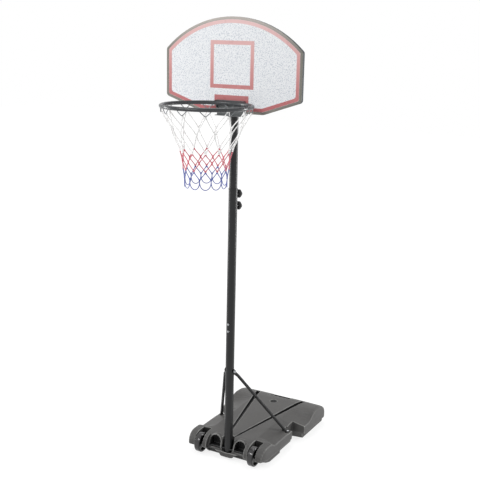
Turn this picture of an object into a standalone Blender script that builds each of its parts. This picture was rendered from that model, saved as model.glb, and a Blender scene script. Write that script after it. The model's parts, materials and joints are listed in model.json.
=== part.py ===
"""Portable basketball stand: water-filled base on two wheels, three-part telescoping pole,
moulded backboard, steel hoop with a corded net. Metres, +Z up, the hoop side faces -Y.
The origin is at the middle of the footprint, on the floor."""

from math import asin, cos, pi, radians, sin, sqrt

import bmesh
import bpy
from mathutils import Matrix, Vector

# Fits
GAP = 0.0003
SLIDE_CLEARANCE = 0.0004
BORE_CLEARANCE = 0.0003
CUT_OVERRUN = 0.02
CROSS_SPAN = 0.06
EDGE_LAP = 0.0005
WELD_DISTANCE = 0.00003
BOLT_OVERLENGTH = 0.002
NUT_RATIO = 1.7
HEAD_RATIO = 2.0
ROUND_STEPS = 32
SMALL_STEPS = 16
COARSE_STEPS = 10

# Base tank; heights are counted from its raised front underside
FLOOR_DROP = 0.006
TANK_FRONT = 0.045
TANK_REAR = 0.648
TANK_WALL = 0.0045
FRONT_HALF_WIDTH = 0.2185
REAR_HALF_WIDTH = 0.253
FOOT_STEP = 0.006
REAR_FOOT_STEP = 0.020
SILL_HEIGHT = 0.027
SILL_RISE = 0.006
DECK_HALF_WIDTH = 0.128
DECK_FRONT_HEIGHT = 0.100
DECK_REAR_HEIGHT = 0.120
SHOULDER_HEIGHT = 0.078
FENDER_HEIGHT = 0.097
NOSE_RUN = 0.062
NOSE_TOP = 0.046
NOSE_UNDERSIDE = 0.034
FENDER_UNDERSIDE_END = 0.054
MIDDLE_UNDERSIDE_END = 0.0
UNDERSIDE_STEP = 0.006
UNDERSIDE_STEP_RUN = 0.014
FENDER_END = 0.060
FENDER_FALL = 0.036
NOTCH_INNER = 0.186
NOTCH_FRONT = 0.291
NOTCH_REAR = 0.361
NOTCH_SLANT = 0.15
NOTCH_SPLIT = 0.040
LOW_NOTCH_INNER = 0.174
LOW_NOTCH_FRONT = 0.2875
LOW_NOTCH_REAR = 0.388
WIDENING = (0.296, 0.326)
LOBE_RISE_START = 0.425
LOBE_RISE_END = 0.515
REAR_ROUND_RUN = 0.110
REAR_EDGE_HEIGHT = 0.058
REAR_CORNER_SIDE = 0.014
REAR_CORNER_RUN = 0.030
LOBE_DROP = 0.004
FRONT_SOFTNESS = (0.008, 0.008)
LOBE_SOFTNESS = (0.020, 0.019)

# Wheels and axle
WHEEL_RADIUS = 0.050
WHEEL_WIDTH = 0.030
WHEEL_SETBACK = 0.065
WHEEL_LIFT = 0.0005
WHEEL_TREAD = 0.010
WHEEL_CHAMFER = 0.003
WHEEL_WEB = 0.008
WHEEL_HUB_WALL = 0.007
AXLE_Y = -0.0117
WHEEL_SLOT_WIDTH = 0.045
WHEEL_SLOT_REAR = 0.052
AXLE_DIAMETER = 0.008
AXLE_BLIND_WALL = 0.014
AXLE_CAP_DIAMETER = 0.018
AXLE_CAP_DEPTH = 0.007
AXLE_CAP_CHAMFER = 0.002

# Pole seat at the front of the base
LIP_FRONT = 0.018
LIP_HEIGHT = 0.036
LIP_UNDERCUT = 0.018
LIP_UNDERSIDE = 0.027
FACE_TOP_SETBACK = 0.020
CENTRE_HALF_WIDTH = 0.108
SOCKET_CLEARANCE = 0.0020
SOCKET_FLOOR = 0.012
SOCKET_RECESS_RADIUS = 0.033
SOCKET_RECESS_FLOOR = 0.031
TONGUE_FRONT = 0.0295
TONGUE_BACK = 0.030
TONGUE_CORNER = 0.012
TONGUE_LEVELS = ((0.006, 0.036), (0.014, 0.040), (0.022, 0.050), (0.0335, 0.072))
ARCH_OFFSET = 0.072
ARCH_WIDTH = 0.062
ARCH_TOP = 0.0985
ARCH_FLOOR = 0.039
ARCH_DEPTH = 0.050
COLLAR_WIDTH = 0.0065
COLLAR_STANDOUT = 0.003
COLLAR_REAR = 0.022

# Deck details
GROOVE_START = (0.018, 0.016)
GROOVE_END = (0.1410, 0.590)
GROOVE_START_WIDTH = 0.011
GROOVE_END_WIDTH = 0.022
GROOVE_START_DEPTH = 0.008
GROOVE_END_DEPTH = 0.018
FILL_HOLE_Y = 0.499
FILL_HOLE_DIAMETER = 0.026
PLUG_HEAD_DIAMETER = 0.036
PLUG_RECESS = 0.002
PLUG_HEAD_HEIGHT = 0.005
PLUG_LENGTH = 0.016
PLUG_CHAMFER = 0.0015
HANDLE_HALF_WIDTH = 0.050
HANDLE_STEP_HALF_WIDTH = 0.059
HANDLE_STEP_Y = 0.568
HANDLE_STEP_DROP = 0.014
HANDLE_SLOT_DEPTH = 0.026
HANDLE_BAR = 0.022
CHANNEL_START = 0.165
CHANNEL_END = 0.300
DROP_SPAN = (0.190, 0.230)
CHANNEL_HEIGHT = 0.014

# Height of the ring's middle; the board, its brackets and the net are set out from it
HOOP_HEIGHT = 1.787

# Pole
OUTER_TUBE_DIAMETER = 0.043
TUBE_WALL = 0.0015
SEAM_HEIGHT = 0.645
NECK_LENGTH = 0.105
NECK_TAPER = 0.012
MIDDLE_TOP = 1.385
MIDDLE_LIP = 0.0007
MIDDLE_LIP_HEIGHT = 0.006
UPPER_TUBE_OVERLAP = 0.42
POLE_RISE = 0.213
POLE_CAP_HEIGHT = 0.006
POLE_CAP_PLUG = 0.018
POLE_CAP_CHAMFER = 0.003
JOINT_BOLT_RISES = (0.032, 0.068)
JOINT_BOLT_DIAMETER = 0.006

# Struts
STRUT_DIAMETER = 0.016
STRUT_TAB_THICKNESS = 0.004
STRUT_TAB_WIDTH = 0.020
STRUT_BOLT_HEIGHT = 0.466
STRUT_BOLT_DIAMETER = 0.008
STRUT_BEND_DROP = 0.013
STRUT_TAPER = 0.020
FOOT_BOLT_X = 0.201
FOOT_BOLT_Y = 0.271
FOOT_BOLT_DIAMETER = 0.006
FOOT_SEAT_HEIGHT = 0.0745
FOOT_SEAT_WIDTH = 0.040
FOOT_SEAT_FRONT = 0.243
FOOT_SEAT_REAR = 0.300
FOOT_BOSS_THICKNESS = 0.020
FOOT_NUT_POCKET = 0.018

# Height knobs
KNOB_DROPS = (0.090, 0.032)
KNOB_DIAMETER = 0.0445
KNOB_LENGTH = 0.029
KNOB_STANDOFF = 0.003
KNOB_LOBES = 6
KNOB_LOBE_DEPTH = 0.0022
KNOB_GRIP = (0.006, 0.014)
KNOB_CHAMFER = 0.004
KNOB_FACE_SHARE = 0.5
STUD_DIAMETER = 0.008
STUD_IN_KNOB = 0.014
WELD_NUT_LENGTH = 0.014
WELD_NUT_ACROSS = 0.015

# Backboard
BOARD_WIDTH = 0.710
BOARD_RISE = 0.386
SHOULDER_RISE = 0.238
SIDE_RISE = 0.0185
BOARD_DROP = 0.0454
BOARD_BOTTOM_WIDTH = 0.330
BOARD_DEPTH = 0.019
BOARD_WALL = 0.003
BOARD_RIM_WALL = 0.004
BOARD_CORNER_RADIUS = 0.016
BEZEL_WIDTH = 0.012
PANEL_CORNER_RADIUS = 0.012
PANEL_THICKNESS = 0.0012
RIB_THICKNESS = 0.0024
RIB_OFFSETS = (0.095, 0.230)
RIB_RISES = (0.093, 0.233)
RIB_SETBACK = 0.001
BOSS_DIAMETER = 0.016
BOSS_SETBACK = 0.0005

# Brackets that hold the board on the pole
STEEL = 0.0025
PLATE_STANDOFF = 0.0065
STRAP_RISE = 0.148
UPPER_STRAP_WIDTH = 0.028
STRAP_EAR = 0.016
LOWER_BRACKET_HALF_WIDTH = 0.070
BRACKET_DROP = 0.062
PLATE_DROP = 0.035
BRACKET_RISE = 0.019
LOWER_BRACKET_ARM = 0.012
SCREW_DIAMETER = 0.005
SCREW_LENGTH = 0.010
BRACKET_BOLT_RISE = 0.010
BRACKET_BOLT_DIAMETER = 0.006

# Hoop
HOOP_RADIUS = 0.2013
HOOP_TUBE = 0.018
HOOP_REACH = 0.2485
RIM_PLATE_HALF_WIDTH = 0.0735
RIM_PLATE_DROP = 0.059
RIM_PLATE_THICKNESS = 0.003
RIM_FLANGE = 0.020
RIM_GUSSET_DROP = 0.036
RIM_BOLT_X = 0.056
RIM_BOLT_DROP = 0.004
RIM_BOLT_DIAMETER = 0.006
HOOK_COUNT = 12
HOOK_HALF_WIDTH = 0.026
HOOK_DROP = 0.028
HOOK_WIRE = 0.004

# Net: drop below the ring and radius of each row of knots, from the hooks down to the lowest loops
NET_CORD = 0.0042
NET_INSET = 0.0045
NET_LEVELS = (
    (HOOK_DROP, HOOP_RADIUS - NET_INSET),
    (0.115, 0.153),
    (0.199, 0.116),
    (0.239, 0.108),
    (0.279, 0.102),
    (0.317, 0.098),
    (0.359, 0.098),
)

# Sizes that follow from the ones above
OUTER_RADIUS = OUTER_TUBE_DIAMETER / 2
UPPER_RADIUS = OUTER_RADIUS - TUBE_WALL - SLIDE_CLEARANCE
NECK_RADIUS = OUTER_RADIUS - TUBE_WALL - GAP
AXLE_HEIGHT = WHEEL_RADIUS + WHEEL_LIFT - FLOOR_DROP
PLATE_BACK = UPPER_RADIUS + PLATE_STANDOFF
PLATE_FRONT = PLATE_BACK + STEEL
WALL_BACK = PLATE_FRONT + GAP
WALL_FRONT = WALL_BACK + BOARD_WALL
BOARD_FACE = WALL_FRONT + GAP + PANEL_THICKNESS
BOARD_REAR = BOARD_FACE - BOARD_DEPTH
RIM_PLATE_BACK = BOARD_FACE + GAP
RIM_PLATE_FACE = RIM_PLATE_BACK + RIM_PLATE_THICKNESS
HOOP_FRONT = HOOP_REACH + HOOP_RADIUS + HOOP_TUBE / 2
POLE_Y = (HOOP_FRONT - TANK_REAR) / 2
SOCKET_RADIUS = OUTER_RADIUS + SOCKET_CLEARANCE
WHEEL_OFFSET = FRONT_HALF_WIDTH - WHEEL_SETBACK
UPPER_TOP = HOOP_HEIGHT + POLE_RISE
BOARD_TOP = HOOP_HEIGHT + BOARD_RISE
BOARD_SHOULDER = HOOP_HEIGHT + SHOULDER_RISE
BOARD_SIDE_BOTTOM = HOOP_HEIGHT + SIDE_RISE
BOARD_BOTTOM = HOOP_HEIGHT - BOARD_DROP
UPPER_STRAP_HEIGHT = HOOP_HEIGHT + STRAP_RISE
LOWER_BRACKET_FOOT = HOOP_HEIGHT - BRACKET_DROP
LOWER_BRACKET_PLATE_FOOT = HOOP_HEIGHT - PLATE_DROP
LOWER_BRACKET_TOP = HOOP_HEIGHT + BRACKET_RISE
RIM_PLATE_FOOT = HOOP_HEIGHT - RIM_PLATE_DROP
RIM_BOLT_HEIGHT = HOOP_HEIGHT - RIM_BOLT_DROP
BRACKET_BOLT_HEIGHT = LOWER_BRACKET_PLATE_FOOT + BRACKET_BOLT_RISE
JOINT_BOLT_HEIGHTS = tuple(SEAM_HEIGHT + rise for rise in JOINT_BOLT_RISES)
KNOB_HEIGHTS = tuple(MIDDLE_TOP - drop for drop in KNOB_DROPS)
STRUT_TAB_X = OUTER_RADIUS + GAP + STRUT_TAB_THICKNESS / 2


def remove_scene_objects():
    for thing in list(bpy.data.objects):
        bpy.data.objects.remove(thing, do_unlink=True)


remove_scene_objects()
scene_root = bpy.context.scene.collection
parts = bpy.data.collections.new("basketball_stand")
cutters = bpy.data.collections.new("cutters")
scene_root.children.link(parts)
scene_root.children.link(cutters)

pole_axis = bpy.data.objects.new("pole_axis", None)
pole_axis.location = (0, POLE_Y, FLOOR_DROP)
parts.objects.link(pole_axis)


def finish(name, colour, roughness, metallic=0.0):
    material = bpy.data.materials.new(name)
    material.use_nodes = True
    shader = material.node_tree.nodes["Principled BSDF"]
    shader.inputs["Base Color"].default_value = (*colour, 1)
    shader.inputs["Roughness"].default_value = roughness
    shader.inputs["Metallic"].default_value = metallic
    material.diffuse_color = (*colour, 1)
    return material


BASE_PLASTIC = finish("grey_polyethylene", (0.13, 0.13, 0.135), 0.5)
BLACK_PLASTIC = finish("black_plastic", (0.02, 0.02, 0.022), 0.35)
WHEEL_PLASTIC = finish("wheel_plastic", (0.03, 0.03, 0.033), 0.25)
POLE_PAINT = finish("black_powder_coat", (0.03, 0.03, 0.032), 0.3, 0.2)
HOOP_PAINT = finish("hoop_paint", (0.05, 0.055, 0.06), 0.3, 0.2)
BRACKET_STEEL = finish("bracket_steel", (0.3, 0.3, 0.3), 0.4, 0.8)
ZINC = finish("zinc_plate", (0.6, 0.6, 0.6), 0.3, 1.0)
BOARD_PLASTIC = finish("board_plastic", (0.24, 0.235, 0.22), 0.5)
PANEL_PRINT = finish("printed_panel", (0.72, 0.75, 0.78), 0.45)
WHITE_CORD = finish("white_cord", (0.9, 0.9, 0.9), 0.8)


def new_object(name, mesh, location=(0, 0, 0), rotation=(0, 0, 0), parent=pole_axis):
    thing = bpy.data.objects.new(name, mesh)
    thing.location = location
    thing.rotation_euler = rotation
    thing.parent = parent
    return thing


def add_part(name, mesh, material, location=(0, 0, 0), rotation=(0, 0, 0)):
    part = new_object(name, mesh, location, rotation)
    part.data.materials.clear()
    part.data.materials.append(material)
    parts.objects.link(part)
    return part


def add_cutter(name, mesh, location=(0, 0, 0), rotation=(0, 0, 0)):
    cutter = new_object(name, mesh, location, rotation)
    cutter.hide_render = True
    cutter.display_type = "WIRE"
    cutters.objects.link(cutter)
    return cutter


def mesh_from(name, build):
    mesh = bpy.data.meshes.new(name)
    shape = bmesh.new()
    build(shape)
    bmesh.ops.recalc_face_normals(shape, faces=shape.faces)
    shape.to_mesh(mesh)
    shape.free()
    return mesh


def box_mesh(name, low, high):
    size = Vector(high) - Vector(low)
    middle = (Vector(high) + Vector(low)) / 2

    def build(shape):
        place = Matrix.Translation(middle) @ Matrix.Diagonal((*size, 1))
        bmesh.ops.create_cube(shape, size=1, matrix=place)

    return mesh_from(name, build)


def cylinder_mesh(name, radius, low, high, axis="Z", steps=SMALL_STEPS):
    turns = {"Z": Matrix(), "X": Matrix.Rotation(pi / 2, 4, "Y"), "Y": Matrix.Rotation(-pi / 2, 4, "X")}
    middle = Matrix.Translation((0, 0, (low + high) / 2))
    place = turns[axis] @ middle @ Matrix.Rotation(pi / steps, 4, "Z")

    def build(shape):
        bmesh.ops.create_cone(
            shape,
            cap_ends=True,
            segments=steps,
            radius1=radius,
            radius2=radius,
            depth=high - low,
            matrix=place,
        )

    return mesh_from(name, build)


def loft_mesh(name, sections):
    """Closed skin over rings of points that all have the same count."""

    def build(shape):
        rings = [[shape.verts.new(point) for point in section] for section in sections]
        count = len(sections[0])
        for ring, following in zip(rings, rings[1:]):
            for i in range(count):
                j = (i + 1) % count
                shape.faces.new((ring[i], ring[j], following[j], following[i]))
        shape.faces.new(rings[0])
        shape.faces.new(rings[-1])

    return mesh_from(name, build)


def turned_mesh(name, profile, steps=ROUND_STEPS, closed=True):
    """Profile of (radius, height) points, down the outer side from top to bottom, spun about Z."""
    mesh = bpy.data.meshes.new(name)
    points = [(radius, 0, height) for radius, height in profile]
    edges = [(i, i + 1) for i in range(len(points) - 1)]
    if closed:
        edges.append((len(points) - 1, 0))
    mesh.from_pydata(points, edges, [])
    holder = bpy.data.objects.new(name, mesh)
    cutters.objects.link(holder)
    screw = holder.modifiers.new("turn", "SCREW")
    screw.axis = "Z"
    screw.steps = steps
    screw.render_steps = steps
    screw.use_merge_vertices = True
    screw.merge_threshold = WELD_DISTANCE
    return baked(holder)


def baked(holder):
    """Mesh of an object with its modifiers applied, the object itself removed."""
    bpy.context.view_layer.update()
    evaluated = holder.evaluated_get(bpy.context.evaluated_depsgraph_get())
    mesh = bpy.data.meshes.new_from_object(evaluated)
    shape = bmesh.new()
    shape.from_mesh(mesh)
    bmesh.ops.remove_doubles(shape, verts=shape.verts, dist=WELD_DISTANCE)
    bmesh.ops.dissolve_degenerate(shape, edges=shape.edges, dist=WELD_DISTANCE)
    bmesh.ops.recalc_face_normals(shape, faces=shape.faces)
    shape.to_mesh(mesh)
    shape.free()
    bpy.data.objects.remove(holder, do_unlink=True)
    return mesh


def flat_mesh(name, outlines, thickness):
    """Flat outlines in XY, holes included, thickened evenly about Z = 0."""
    curve = bpy.data.curves.new(name, "CURVE")
    curve.dimensions = "2D"
    curve.fill_mode = "BOTH"
    curve.extrude = thickness / 2
    for outline in outlines:
        spline = curve.splines.new("POLY")
        spline.points.add(len(outline) - 1)
        for point, (x, y) in zip(spline.points, outline):
            point.co = (x, y, 0, 1)
        spline.use_cyclic_u = True
    holder = bpy.data.objects.new(name, curve)
    cutters.objects.link(holder)
    return baked(holder)


def wire_mesh(name, route, diameter, sides_resolution=1):
    """Round wire along a route of points, its ends closed."""
    curve = bpy.data.curves.new(name, "CURVE")
    curve.dimensions = "3D"
    curve.bevel_depth = diameter / 2
    curve.bevel_resolution = sides_resolution
    curve.use_fill_caps = True
    spline = curve.splines.new("POLY")
    spline.points.add(len(route) - 1)
    for point, place in zip(spline.points, route):
        point.co = (*place, 1)
    holder = bpy.data.objects.new(name, curve)
    cutters.objects.link(holder)
    return baked(holder)


def joined_mesh(name, meshes):
    def build(shape):
        for mesh in meshes:
            shape.from_mesh(mesh)

    return mesh_from(name, build)


def moved(mesh, matrix):
    mesh.transform(matrix)
    return mesh


def boolean(part, cutter, operation="DIFFERENCE"):
    modifier = part.modifiers.new(cutter.name, "BOOLEAN")
    modifier.operation = operation
    modifier.solver = "EXACT"
    modifier.object = cutter
    part.modifiers.new("triangles", "TRIANGULATE")


def smooth(part, angle=35):
    part.data.shade_smooth()
    part.data.set_sharp_from_angle(angle=radians(angle))


def smoothstep(value, start, end):
    share = min(max((value - start) / (end - start), 0), 1)
    return share * share * (3 - 2 * share)


def blend(value, start, end, first, last):
    return first + (last - first) * smoothstep(value, start, end)


def circle(radius, centre=(0, 0), steps=SMALL_STEPS):
    return [
        (centre[0] + radius * cos(2 * pi * i / steps), centre[1] + radius * sin(2 * pi * i / steps))
        for i in range(steps)
    ]


def hexagon(across, centre=(0, 0)):
    return circle(across / sqrt(3), centre, 6)


# Base tank


def nose_rise(y, low, high):
    """Quarter ellipse of the rounded front, from low at the very front to high."""
    run = min(max((y + TANK_FRONT) / NOSE_RUN, 0), 1)
    return low + (high - low) * sqrt(1 - (1 - run) ** 2)


def rear_fall(y, height):
    """The same at the rear, where the top rounds down to its rear edge."""
    run = min(max((y - (TANK_REAR - REAR_ROUND_RUN)) / REAR_ROUND_RUN, 0), 1)
    return height - (height - REAR_EDGE_HEIGHT) * (1 - sqrt(1 - run**2))


def deck_height(y):
    slope = DECK_FRONT_HEIGHT + (DECK_REAR_HEIGHT - DECK_FRONT_HEIGHT) * y / TANK_REAR
    return rear_fall(y, nose_rise(y, NOSE_TOP, slope))


def shoulder_height(y):
    fender = nose_rise(y, NOSE_TOP, FENDER_HEIGHT)
    behind_fender = blend(y, FENDER_END, FENDER_END + FENDER_FALL, fender, SHOULDER_HEIGHT)
    lobe = blend(y, LOBE_RISE_START, LOBE_RISE_END, behind_fender, DECK_REAR_HEIGHT - LOBE_DROP)
    return rear_fall(y, lobe)


def half_width(y):
    front = FRONT_HALF_WIDTH - 0.010 * (1 - nose_rise(y, 0, 1))
    past_corner = max(0, (y - TANK_REAR + REAR_CORNER_RUN) / REAR_CORNER_RUN)
    rear_corner = REAR_CORNER_SIDE * (1 - sqrt(1 - past_corner**2))
    return blend(y, *WIDENING, front, REAR_HALF_WIDTH) - rear_corner


def foot_half_width(y):
    return blend(y, *WIDENING, FRONT_HALF_WIDTH - FOOT_STEP, REAR_HALF_WIDTH - REAR_FOOT_STEP)


def underside_height(y, front_end):
    """Raised at the very front, level from front_end, and lower again over the rear part."""
    front = blend(y, -TANK_FRONT, front_end, NOSE_UNDERSIDE, 0)
    return blend(y, *DROP_SPAN, front, -FLOOR_DROP)


def softness(y, room):
    """Width and height of the rounding along the upper side edge, limited by the height it has."""
    wide = blend(y, LOBE_RISE_START, LOBE_RISE_END, FRONT_SOFTNESS[0], LOBE_SOFTNESS[0])
    high = blend(y, LOBE_RISE_START, LOBE_RISE_END, FRONT_SOFTNESS[1], LOBE_SOFTNESS[1])
    return wide, min(high, room / 3)


def tank_section(y, inset):
    """Ring of points across the tank at y, drawn in by inset."""
    place = min(max(y, -TANK_FRONT + inset), TANK_REAR - inset)
    top = deck_height(y) - inset
    side = shoulder_height(y) - inset
    width = half_width(y) - inset
    floor = underside_height(y, FENDER_UNDERSIDE_END) + inset
    middle_floor = underside_height(y, MIDDLE_UNDERSIDE_END) + inset
    foot = min(foot_half_width(y) - inset, width)
    soft, drop = softness(y, side - floor)
    rise = min(SILL_RISE, (side - floor) / 5) / 2
    sill = min(max(SILL_HEIGHT, floor + 3 * rise), (side - drop + floor) / 2)
    half = [
        (0, top),
        (DECK_HALF_WIDTH, top),
        (DECK_HALF_WIDTH + 0.5 * (width - DECK_HALF_WIDTH), side + 0.42 * (top - side)),
        (width - soft, side),
    ]
    for angle in (pi / 6, pi / 3, pi / 2):
        half.append((width - soft * (1 - sin(angle)), side - drop * (1 - cos(angle))))
    half += [
        (width, sill + rise),
        (foot, sill - rise),
        (foot, floor + rise),
        (foot - rise, floor),
        (CENTRE_HALF_WIDTH + UNDERSIDE_STEP + UNDERSIDE_STEP_RUN, floor),
        (CENTRE_HALF_WIDTH + UNDERSIDE_STEP, middle_floor),
    ]
    mirrored = [(-x, z) for x, z in reversed(half[1:])]
    return [(x, place, z) for x, z in half + mirrored]


def tank_stations():
    nose = [-TANK_FRONT + NOSE_RUN * (1 - cos(pi / 2 * i / 5)) for i in range(6)]
    rear = [TANK_REAR - REAR_ROUND_RUN * (1 - sin(pi / 2 * i / 5)) for i in range(6)]
    fender = [FENDER_END + FENDER_FALL * i / 3 for i in range(4)]
    lobe = [LOBE_RISE_START + (LOBE_RISE_END - LOBE_RISE_START) * i / 5 for i in range(6)]
    return sorted(nose + [FENDER_UNDERSIDE_END, *DROP_SPAN, *WIDENING] + fender + lobe + rear)


def inset_stations(inset):
    """Stations of the form drawn in by inset: the two ends, and those that lie between them."""
    stations = tank_stations()
    between = [y for y in stations if -TANK_FRONT + inset < y < TANK_REAR - inset]
    return [stations[0], *between, stations[-1]]


def tank_form(name, inset):
    return loft_mesh(name, [tank_section(y, inset) for y in inset_stations(inset)])


def face_setback(height):
    """How far the sloping front face has gone back from the lip at a height."""
    return FACE_TOP_SETBACK * (height - LIP_HEIGHT) / (DECK_FRONT_HEIGHT - LIP_HEIGHT)


def front_cutter():
    """Clears the sloping front face, the lip below it and the foot set back under the lip."""
    front = -TANK_FRONT - CUT_OVERRUN
    top = DECK_REAR_HEIGHT + CUT_OVERRUN
    profile = [
        (front, -CUT_OVERRUN),
        (-LIP_FRONT + LIP_UNDERCUT, -CUT_OVERRUN),
        (-LIP_FRONT + LIP_UNDERCUT, LIP_UNDERSIDE),
        (-LIP_FRONT, LIP_UNDERSIDE),
        (-LIP_FRONT, LIP_HEIGHT),
        (-LIP_FRONT + face_setback(top), top),
        (front, top),
    ]
    sides = (-CENTRE_HALF_WIDTH, CENTRE_HALF_WIDTH)
    return loft_mesh("front", [[(x, y, z) for y, z in profile] for x in sides])


def wheel_slot_cutter(side, grow):
    middle = side * WHEEL_OFFSET
    half = WHEEL_SLOT_WIDTH / 2 + grow
    low = (middle - half, -TANK_FRONT - CUT_OVERRUN, -CUT_OVERRUN)
    high = (middle + half, WHEEL_SLOT_REAR + grow, DECK_REAR_HEIGHT + CUT_OVERRUN)
    return box_mesh("wheel_slot", low, high)


def arch_outline(grow, floor):
    radius = ARCH_WIDTH / 2 + grow
    spring = ARCH_TOP - ARCH_WIDTH / 2
    arc = [(radius * cos(pi * i / 10), spring + radius * sin(pi * i / 10)) for i in range(11)]
    return [(-radius, floor), (radius, floor)] + arc


def arch_collar(side):
    """Raised rim round an arched pocket, standing out of the sloping face and the deck."""
    outline = arch_outline(COLLAR_WIDTH, ARCH_FLOOR + COLLAR_STANDOUT)
    front = -LIP_FRONT - COLLAR_STANDOUT
    face = [(side * ARCH_OFFSET + x, front + face_setback(z), z) for x, z in outline]
    rear = [(x, COLLAR_REAR, z) for x, y, z in face]
    return loft_mesh("arch_collar", [face, rear])


def arch_cutter(side):
    """Arched pocket in the sloping front face, beside the pole."""
    front = -TANK_FRONT - CUT_OVERRUN
    rear = -LIP_FRONT + ARCH_DEPTH
    outline = [(side * ARCH_OFFSET + x, z) for x, z in arch_outline(0, ARCH_FLOOR)]
    return loft_mesh("arch", [[(x, y, z) for x, z in outline] for y in (front, rear)])


def tongue_mesh():
    """Hull-shaped lip that carries the pole's foot, flaring outwards as it rises."""
    levels = []
    for height, half in TONGUE_LEVELS:
        ring = [(half, TONGUE_BACK), (-half, TONGUE_BACK)]
        for side in (-1, 1):
            for i in range(4):
                angle = pi / 2 * (i if side < 0 else 3 - i) / 3
                x = side * (half - TONGUE_CORNER * (1 - cos(angle)))
                ring.append((x, -TONGUE_FRONT + TONGUE_CORNER * (1 - sin(angle))))
        levels.append([(x, y, height) for x, y in ring])
    return loft_mesh("tongue", levels)


def socket_cutter():
    """Bore that holds the pole's foot, with a wider recess above it."""
    top = DECK_REAR_HEIGHT + CUT_OVERRUN
    profile = [
        (0, top),
        (SOCKET_RECESS_RADIUS, top),
        (SOCKET_RECESS_RADIUS, SOCKET_RECESS_FLOOR),
        (SOCKET_RADIUS, SOCKET_RECESS_FLOOR),
        (SOCKET_RADIUS, SOCKET_FLOOR),
        (0, SOCKET_FLOOR),
    ]
    return moved(turned_mesh("socket", profile, closed=False), Matrix.Rotation(pi / ROUND_STEPS, 4, "Z"))


def groove_cutter(side, grow):
    """V of two moulded grooves that widen and deepen towards the rear."""
    (start_x, start_y), (end_x, end_y) = GROOVE_START, GROOVE_END
    sections = []
    for x, y, width, depth in (
        (start_x, start_y - grow, GROOVE_START_WIDTH, GROOVE_START_DEPTH),
        (end_x, end_y + grow, GROOVE_END_WIDTH, GROOVE_END_DEPTH),
    ):
        half = width / 2 + grow
        floor = deck_height(y) - depth - grow
        top = DECK_REAR_HEIGHT + CUT_OVERRUN
        corners = ((-half, top), (-half, floor), (half, floor), (half, top))
        sections.append([(side * x + dx, y, z) for dx, z in corners])
    return loft_mesh("groove", sections)


def fill_hole_mesh():
    head_floor = deck_height(FILL_HOLE_Y) - PLUG_RECESS - PLUG_HEAD_HEIGHT - GAP
    head = PLUG_HEAD_DIAMETER / 2 + GAP
    bore = FILL_HOLE_DIAMETER / 2 + GAP
    top = DECK_REAR_HEIGHT + CUT_OVERRUN
    foot = deck_height(FILL_HOLE_Y) - 2 * PLUG_LENGTH
    profile = [(0, top), (head, top), (head, head_floor), (bore, head_floor), (bore, foot), (0, foot)]
    return turned_mesh("fill_hole", profile, closed=False)


def handle_step_cutter(grow):
    width = HANDLE_STEP_HALF_WIDTH + grow
    low = (-width, HANDLE_STEP_Y - grow, deck_height(HANDLE_STEP_Y) - HANDLE_STEP_DROP - grow)
    return box_mesh("handle_step", low, (width, TANK_REAR + CUT_OVERRUN, DECK_REAR_HEIGHT + CUT_OVERRUN))


def handle_slot_cutter(grow):
    width = HANDLE_HALF_WIDTH + grow
    rear = TANK_REAR - HANDLE_BAR
    low = (-width, rear - HANDLE_SLOT_DEPTH - grow, -CUT_OVERRUN)
    return box_mesh("handle_slot", low, (width, rear + grow, DECK_REAR_HEIGHT + CUT_OVERRUN))


def underside_channel_cutter(grow):
    width = REAR_HALF_WIDTH + CUT_OVERRUN
    low = (-width, CHANNEL_START - grow, -CUT_OVERRUN)
    return box_mesh("underside_channel", low, (width, CHANNEL_END + grow, CHANNEL_HEIGHT + grow))


def notch_mesh(side, levels):
    """Notch in the side of the tank through levels of (height, inner side, front, rear)."""
    outer = REAR_HALF_WIDTH + CUT_OVERRUN
    rings = []
    for height, inner, front, rear in levels:
        far = rear + (outer - inner) * NOTCH_SLANT
        plan = [(outer, front), (inner, front), (inner, rear), (outer, far)]
        rings.append([(side * x, y, height) for x, y in plan])
    return loft_mesh("notch", rings)


def upper_notch_cutter(side, grow):
    rear = NOTCH_REAR + grow * (sqrt(1 + NOTCH_SLANT**2) - NOTCH_SLANT)
    plan = NOTCH_INNER - grow, NOTCH_FRONT - grow, rear
    return notch_mesh(side, [(-CUT_OVERRUN, *plan), (DECK_REAR_HEIGHT + CUT_OVERRUN, *plan)])


def lower_notch_cutter(side, grow):
    """Undercut of the notch below its split line, going in further towards the floor."""
    upper = NOTCH_INNER + EDGE_LAP, NOTCH_FRONT + EDGE_LAP, NOTCH_REAR - EDGE_LAP
    lower = LOW_NOTCH_INNER, LOW_NOTCH_FRONT, LOW_NOTCH_REAR
    reach = (NOTCH_SPLIT + CUT_OVERRUN) / (NOTCH_SPLIT + FLOOR_DROP)
    foot = [high + (low - high) * reach for high, low in zip(upper, lower)]
    levels = [(-CUT_OVERRUN, *foot), (NOTCH_SPLIT, *upper)]
    grown = [(z, inner - grow, front - grow, rear + grow) for z, inner, front, rear in levels]
    return notch_mesh(side, grown)


def foot_seat_cutter(side, grow):
    """Flat seat for a strut's foot, open to the notch behind it."""
    half = FOOT_SEAT_WIDTH / 2 + grow
    low = (side * FOOT_BOLT_X - half, FOOT_SEAT_FRONT - grow, FOOT_SEAT_HEIGHT - grow)
    high = (side * FOOT_BOLT_X + half, FOOT_SEAT_REAR + grow, DECK_REAR_HEIGHT + CUT_OVERRUN)
    return box_mesh("foot_seat", low, high)


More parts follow.
